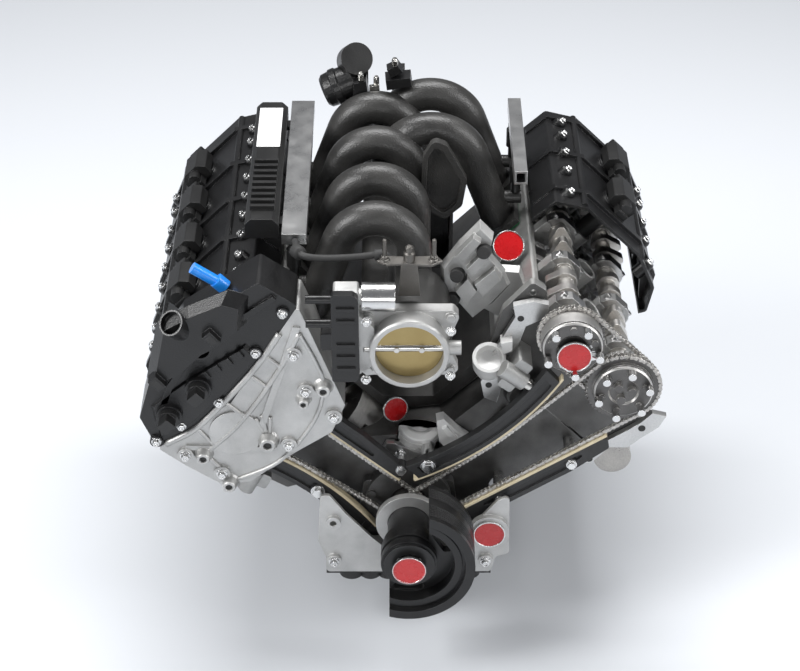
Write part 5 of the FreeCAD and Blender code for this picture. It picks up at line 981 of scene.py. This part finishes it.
for kind, count, ring, first, rest in (("exhaust", 6, 0.68, 15.0, 0.0), ("intake", 5, 0.80, 60.0, 0.0)):
    low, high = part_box("phaser_left_" + kind)
    centre = (low + high) / 2 / MM
    reach = (high.x - low.x) / 2 / MM * ring
    points = []
    faces = []
    for step in range(count):
        angle = math.radians(first + step * 360.0 / count)
        foot = (centre.x + reach * math.cos(angle), low.y / MM - rest, centre.z + reach * math.sin(angle))
        add_to(points, faces, lathe(foot, (0, -1, 0),
                                    ((5.2, 9.0), (5.2, -2.6), (4.4, -3.4), (2.6, -3.4), (2.4, -0.8)), 18))
    new_piece("phaser_screws_" + kind, points, faces, silver, "cam_left_" + kind, "steel")

points = []
faces = []
for x, z in ((-54, 336), (52, 322), (-55, 248), (52, 254)):
    add_to(points, faces, hex_screw((x, -549.5, z), (0, -1, 0), 5.0))
new_piece("throttle_screws", points, faces, silver, ENGINE, "steel")

# ---- Actuator and sensor behind the manifold ------------------------------------------------------
# Vacuum actuator held by a strap, with its plug, beside a stacked sensor on the rearmost runner.

points = []
faces = []
add_to(points, faces, lathe((-118, -60, 400), (0.85, 0.1, 0.35),
                            ((20, 0), (24, 4), (25, 14), (27, 16), (27, 24), (25, 26), (24, 46),
                                                                  (18, 52), (0.1, 53)), 32))
add_to(points, faces, panel([(-76, 428), (-58, 432), (-54, 402), (-78, 398)], -66.0, 22.0, 0.94))
add_to(points, faces, panel([(-30, 454), (-14, 462), (-6, 450), (-24, 440)], -80.0, 18.0, 0.9))
add_to(points, faces, panel([(-32, 440), (4, 444), (6, 430), (-30, 424)], -76.0, 26.0, 0.95))
new_piece("rear_sensors", points, faces, cover_nylon, ENGINE, "black_composite")
points = []
faces = []
for foot, size in (((-66, -84, 432), 4.0), ((-44, -84, 426), 4.0), ((-18, -92, 458), 4.5)):
    add_to(points, faces, lathe(foot, (0, -0.1, 1), ((size, 0), (size, 9), (size * 0.7, 12)), 16))
add_to(points, faces, panel([(-54, 424), (-40, 426), (-38, 400), (-54, 398)], -84.0, 6.0, 0.98))
new_piece("rear_clips", points, faces, ground, ENGINE, "steel")

# ---- Exhaust header, fittings ---------------------------------------------------------------------
# Stainless header on the left bank; blue quick-connect and black connectors on the right cover.

stainless = machined_metal("stainless_pipe", (0.26, 0.25, 0.24), (0.52, 0.50, 0.47), 0.3)
blue_fitting = plain_finish("blue_fitting", (0.006, 0.17, 0.62), (0.015, 0.26, 0.82),
                            60.0, 90.0, 0.2, 0.2, 600.0, 0.00003, 0.3)
dress("exhaust_header", stainless)
dress_solids("cover_fittings", coil_nylon, [(blue_fitting, lambda least, most: most[2] > 340.0)])
dress("manifold_fittings", coil_nylon)

# ---- Stand-in studio ------------------------------------------------------------------------------
# Pale seamless floor and three soft boxes over a pale room.

floor_mesh = bpy.data.meshes.new("floor")
floor_mesh.from_pydata([(-30, -30, 0), (30, -30, 0), (30, 30, 0), (-30, 30, 0)], [], [(0, 1, 2, 3)])
floor = bpy.data.objects.new("floor", floor_mesh)
floor.location = (0, 0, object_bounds()[0].z - 0.0005)
bpy.context.scene.collection.objects.link(floor)
floor_made = bpy.data.materials.new("floor_paper")
floor_made.use_nodes = True
floor_surface = floor_made.node_tree.nodes["Principled BSDF"]
floor_surface.inputs["Base Color"].default_value = (0.60, 0.62, 0.65, 1)
floor_surface.inputs["Roughness"].default_value = 0.9
floor_mesh.materials.append(floor_made)

world = bpy.data.worlds.new("studio")
world.use_nodes = True
bpy.context.scene.world = world
world.node_tree.nodes["Background"].inputs["Color"].default_value = (0.93, 0.95, 1.0, 1)
world.node_tree.nodes["Background"].inputs["Strength"].default_value = 0.20

aim = Vector((0, -0.3, 0.15))


def soft_box(name, place, size, power):
    data = bpy.data.lights.new(name, "AREA")
    data.shape = "RECTANGLE"
    data.size, data.size_y = size
    data.energy = power
    lamp = bpy.data.objects.new(name, data)
    lamp.location = place
    lamp.rotation_euler = (aim - Vector(place)).to_track_quat("-Z", "Y").to_euler()
    bpy.context.scene.collection.objects.link(lamp)


soft_box("key_light", (-2.2, -1.4, 2.0), (1.0, 1.6), 85.0)
soft_box("fill_light", (2.4, -1.0, 1.6), (0.9, 2.0), 52.0)
soft_box("top_light", (0.0, 0.5, 2.6), (2.4, 0.8), 85.0)
soft_box("front_light", (0.3, -3.4, 1.0), (1.6, 0.5), 20.0)

camera_data = bpy.data.cameras.new("view")
camera_data.sensor_width = 36.0
camera_data.lens = 98.99
camera_data.clip_end = 100.0
camera = bpy.data.objects.new("view", camera_data)
camera.location = (-0.0161, -2.8325, 1.8684)
camera.rotation_euler = (math.radians(90.0 - 34.227), 0.0, math.radians(-0.1086))
bpy.context.scene.collection.objects.link(camera)
bpy.context.scene.camera = camera
bpy.context.scene.view_settings.view_transform = "Standard"
bpy.context.scene.view_settings.look = "None"
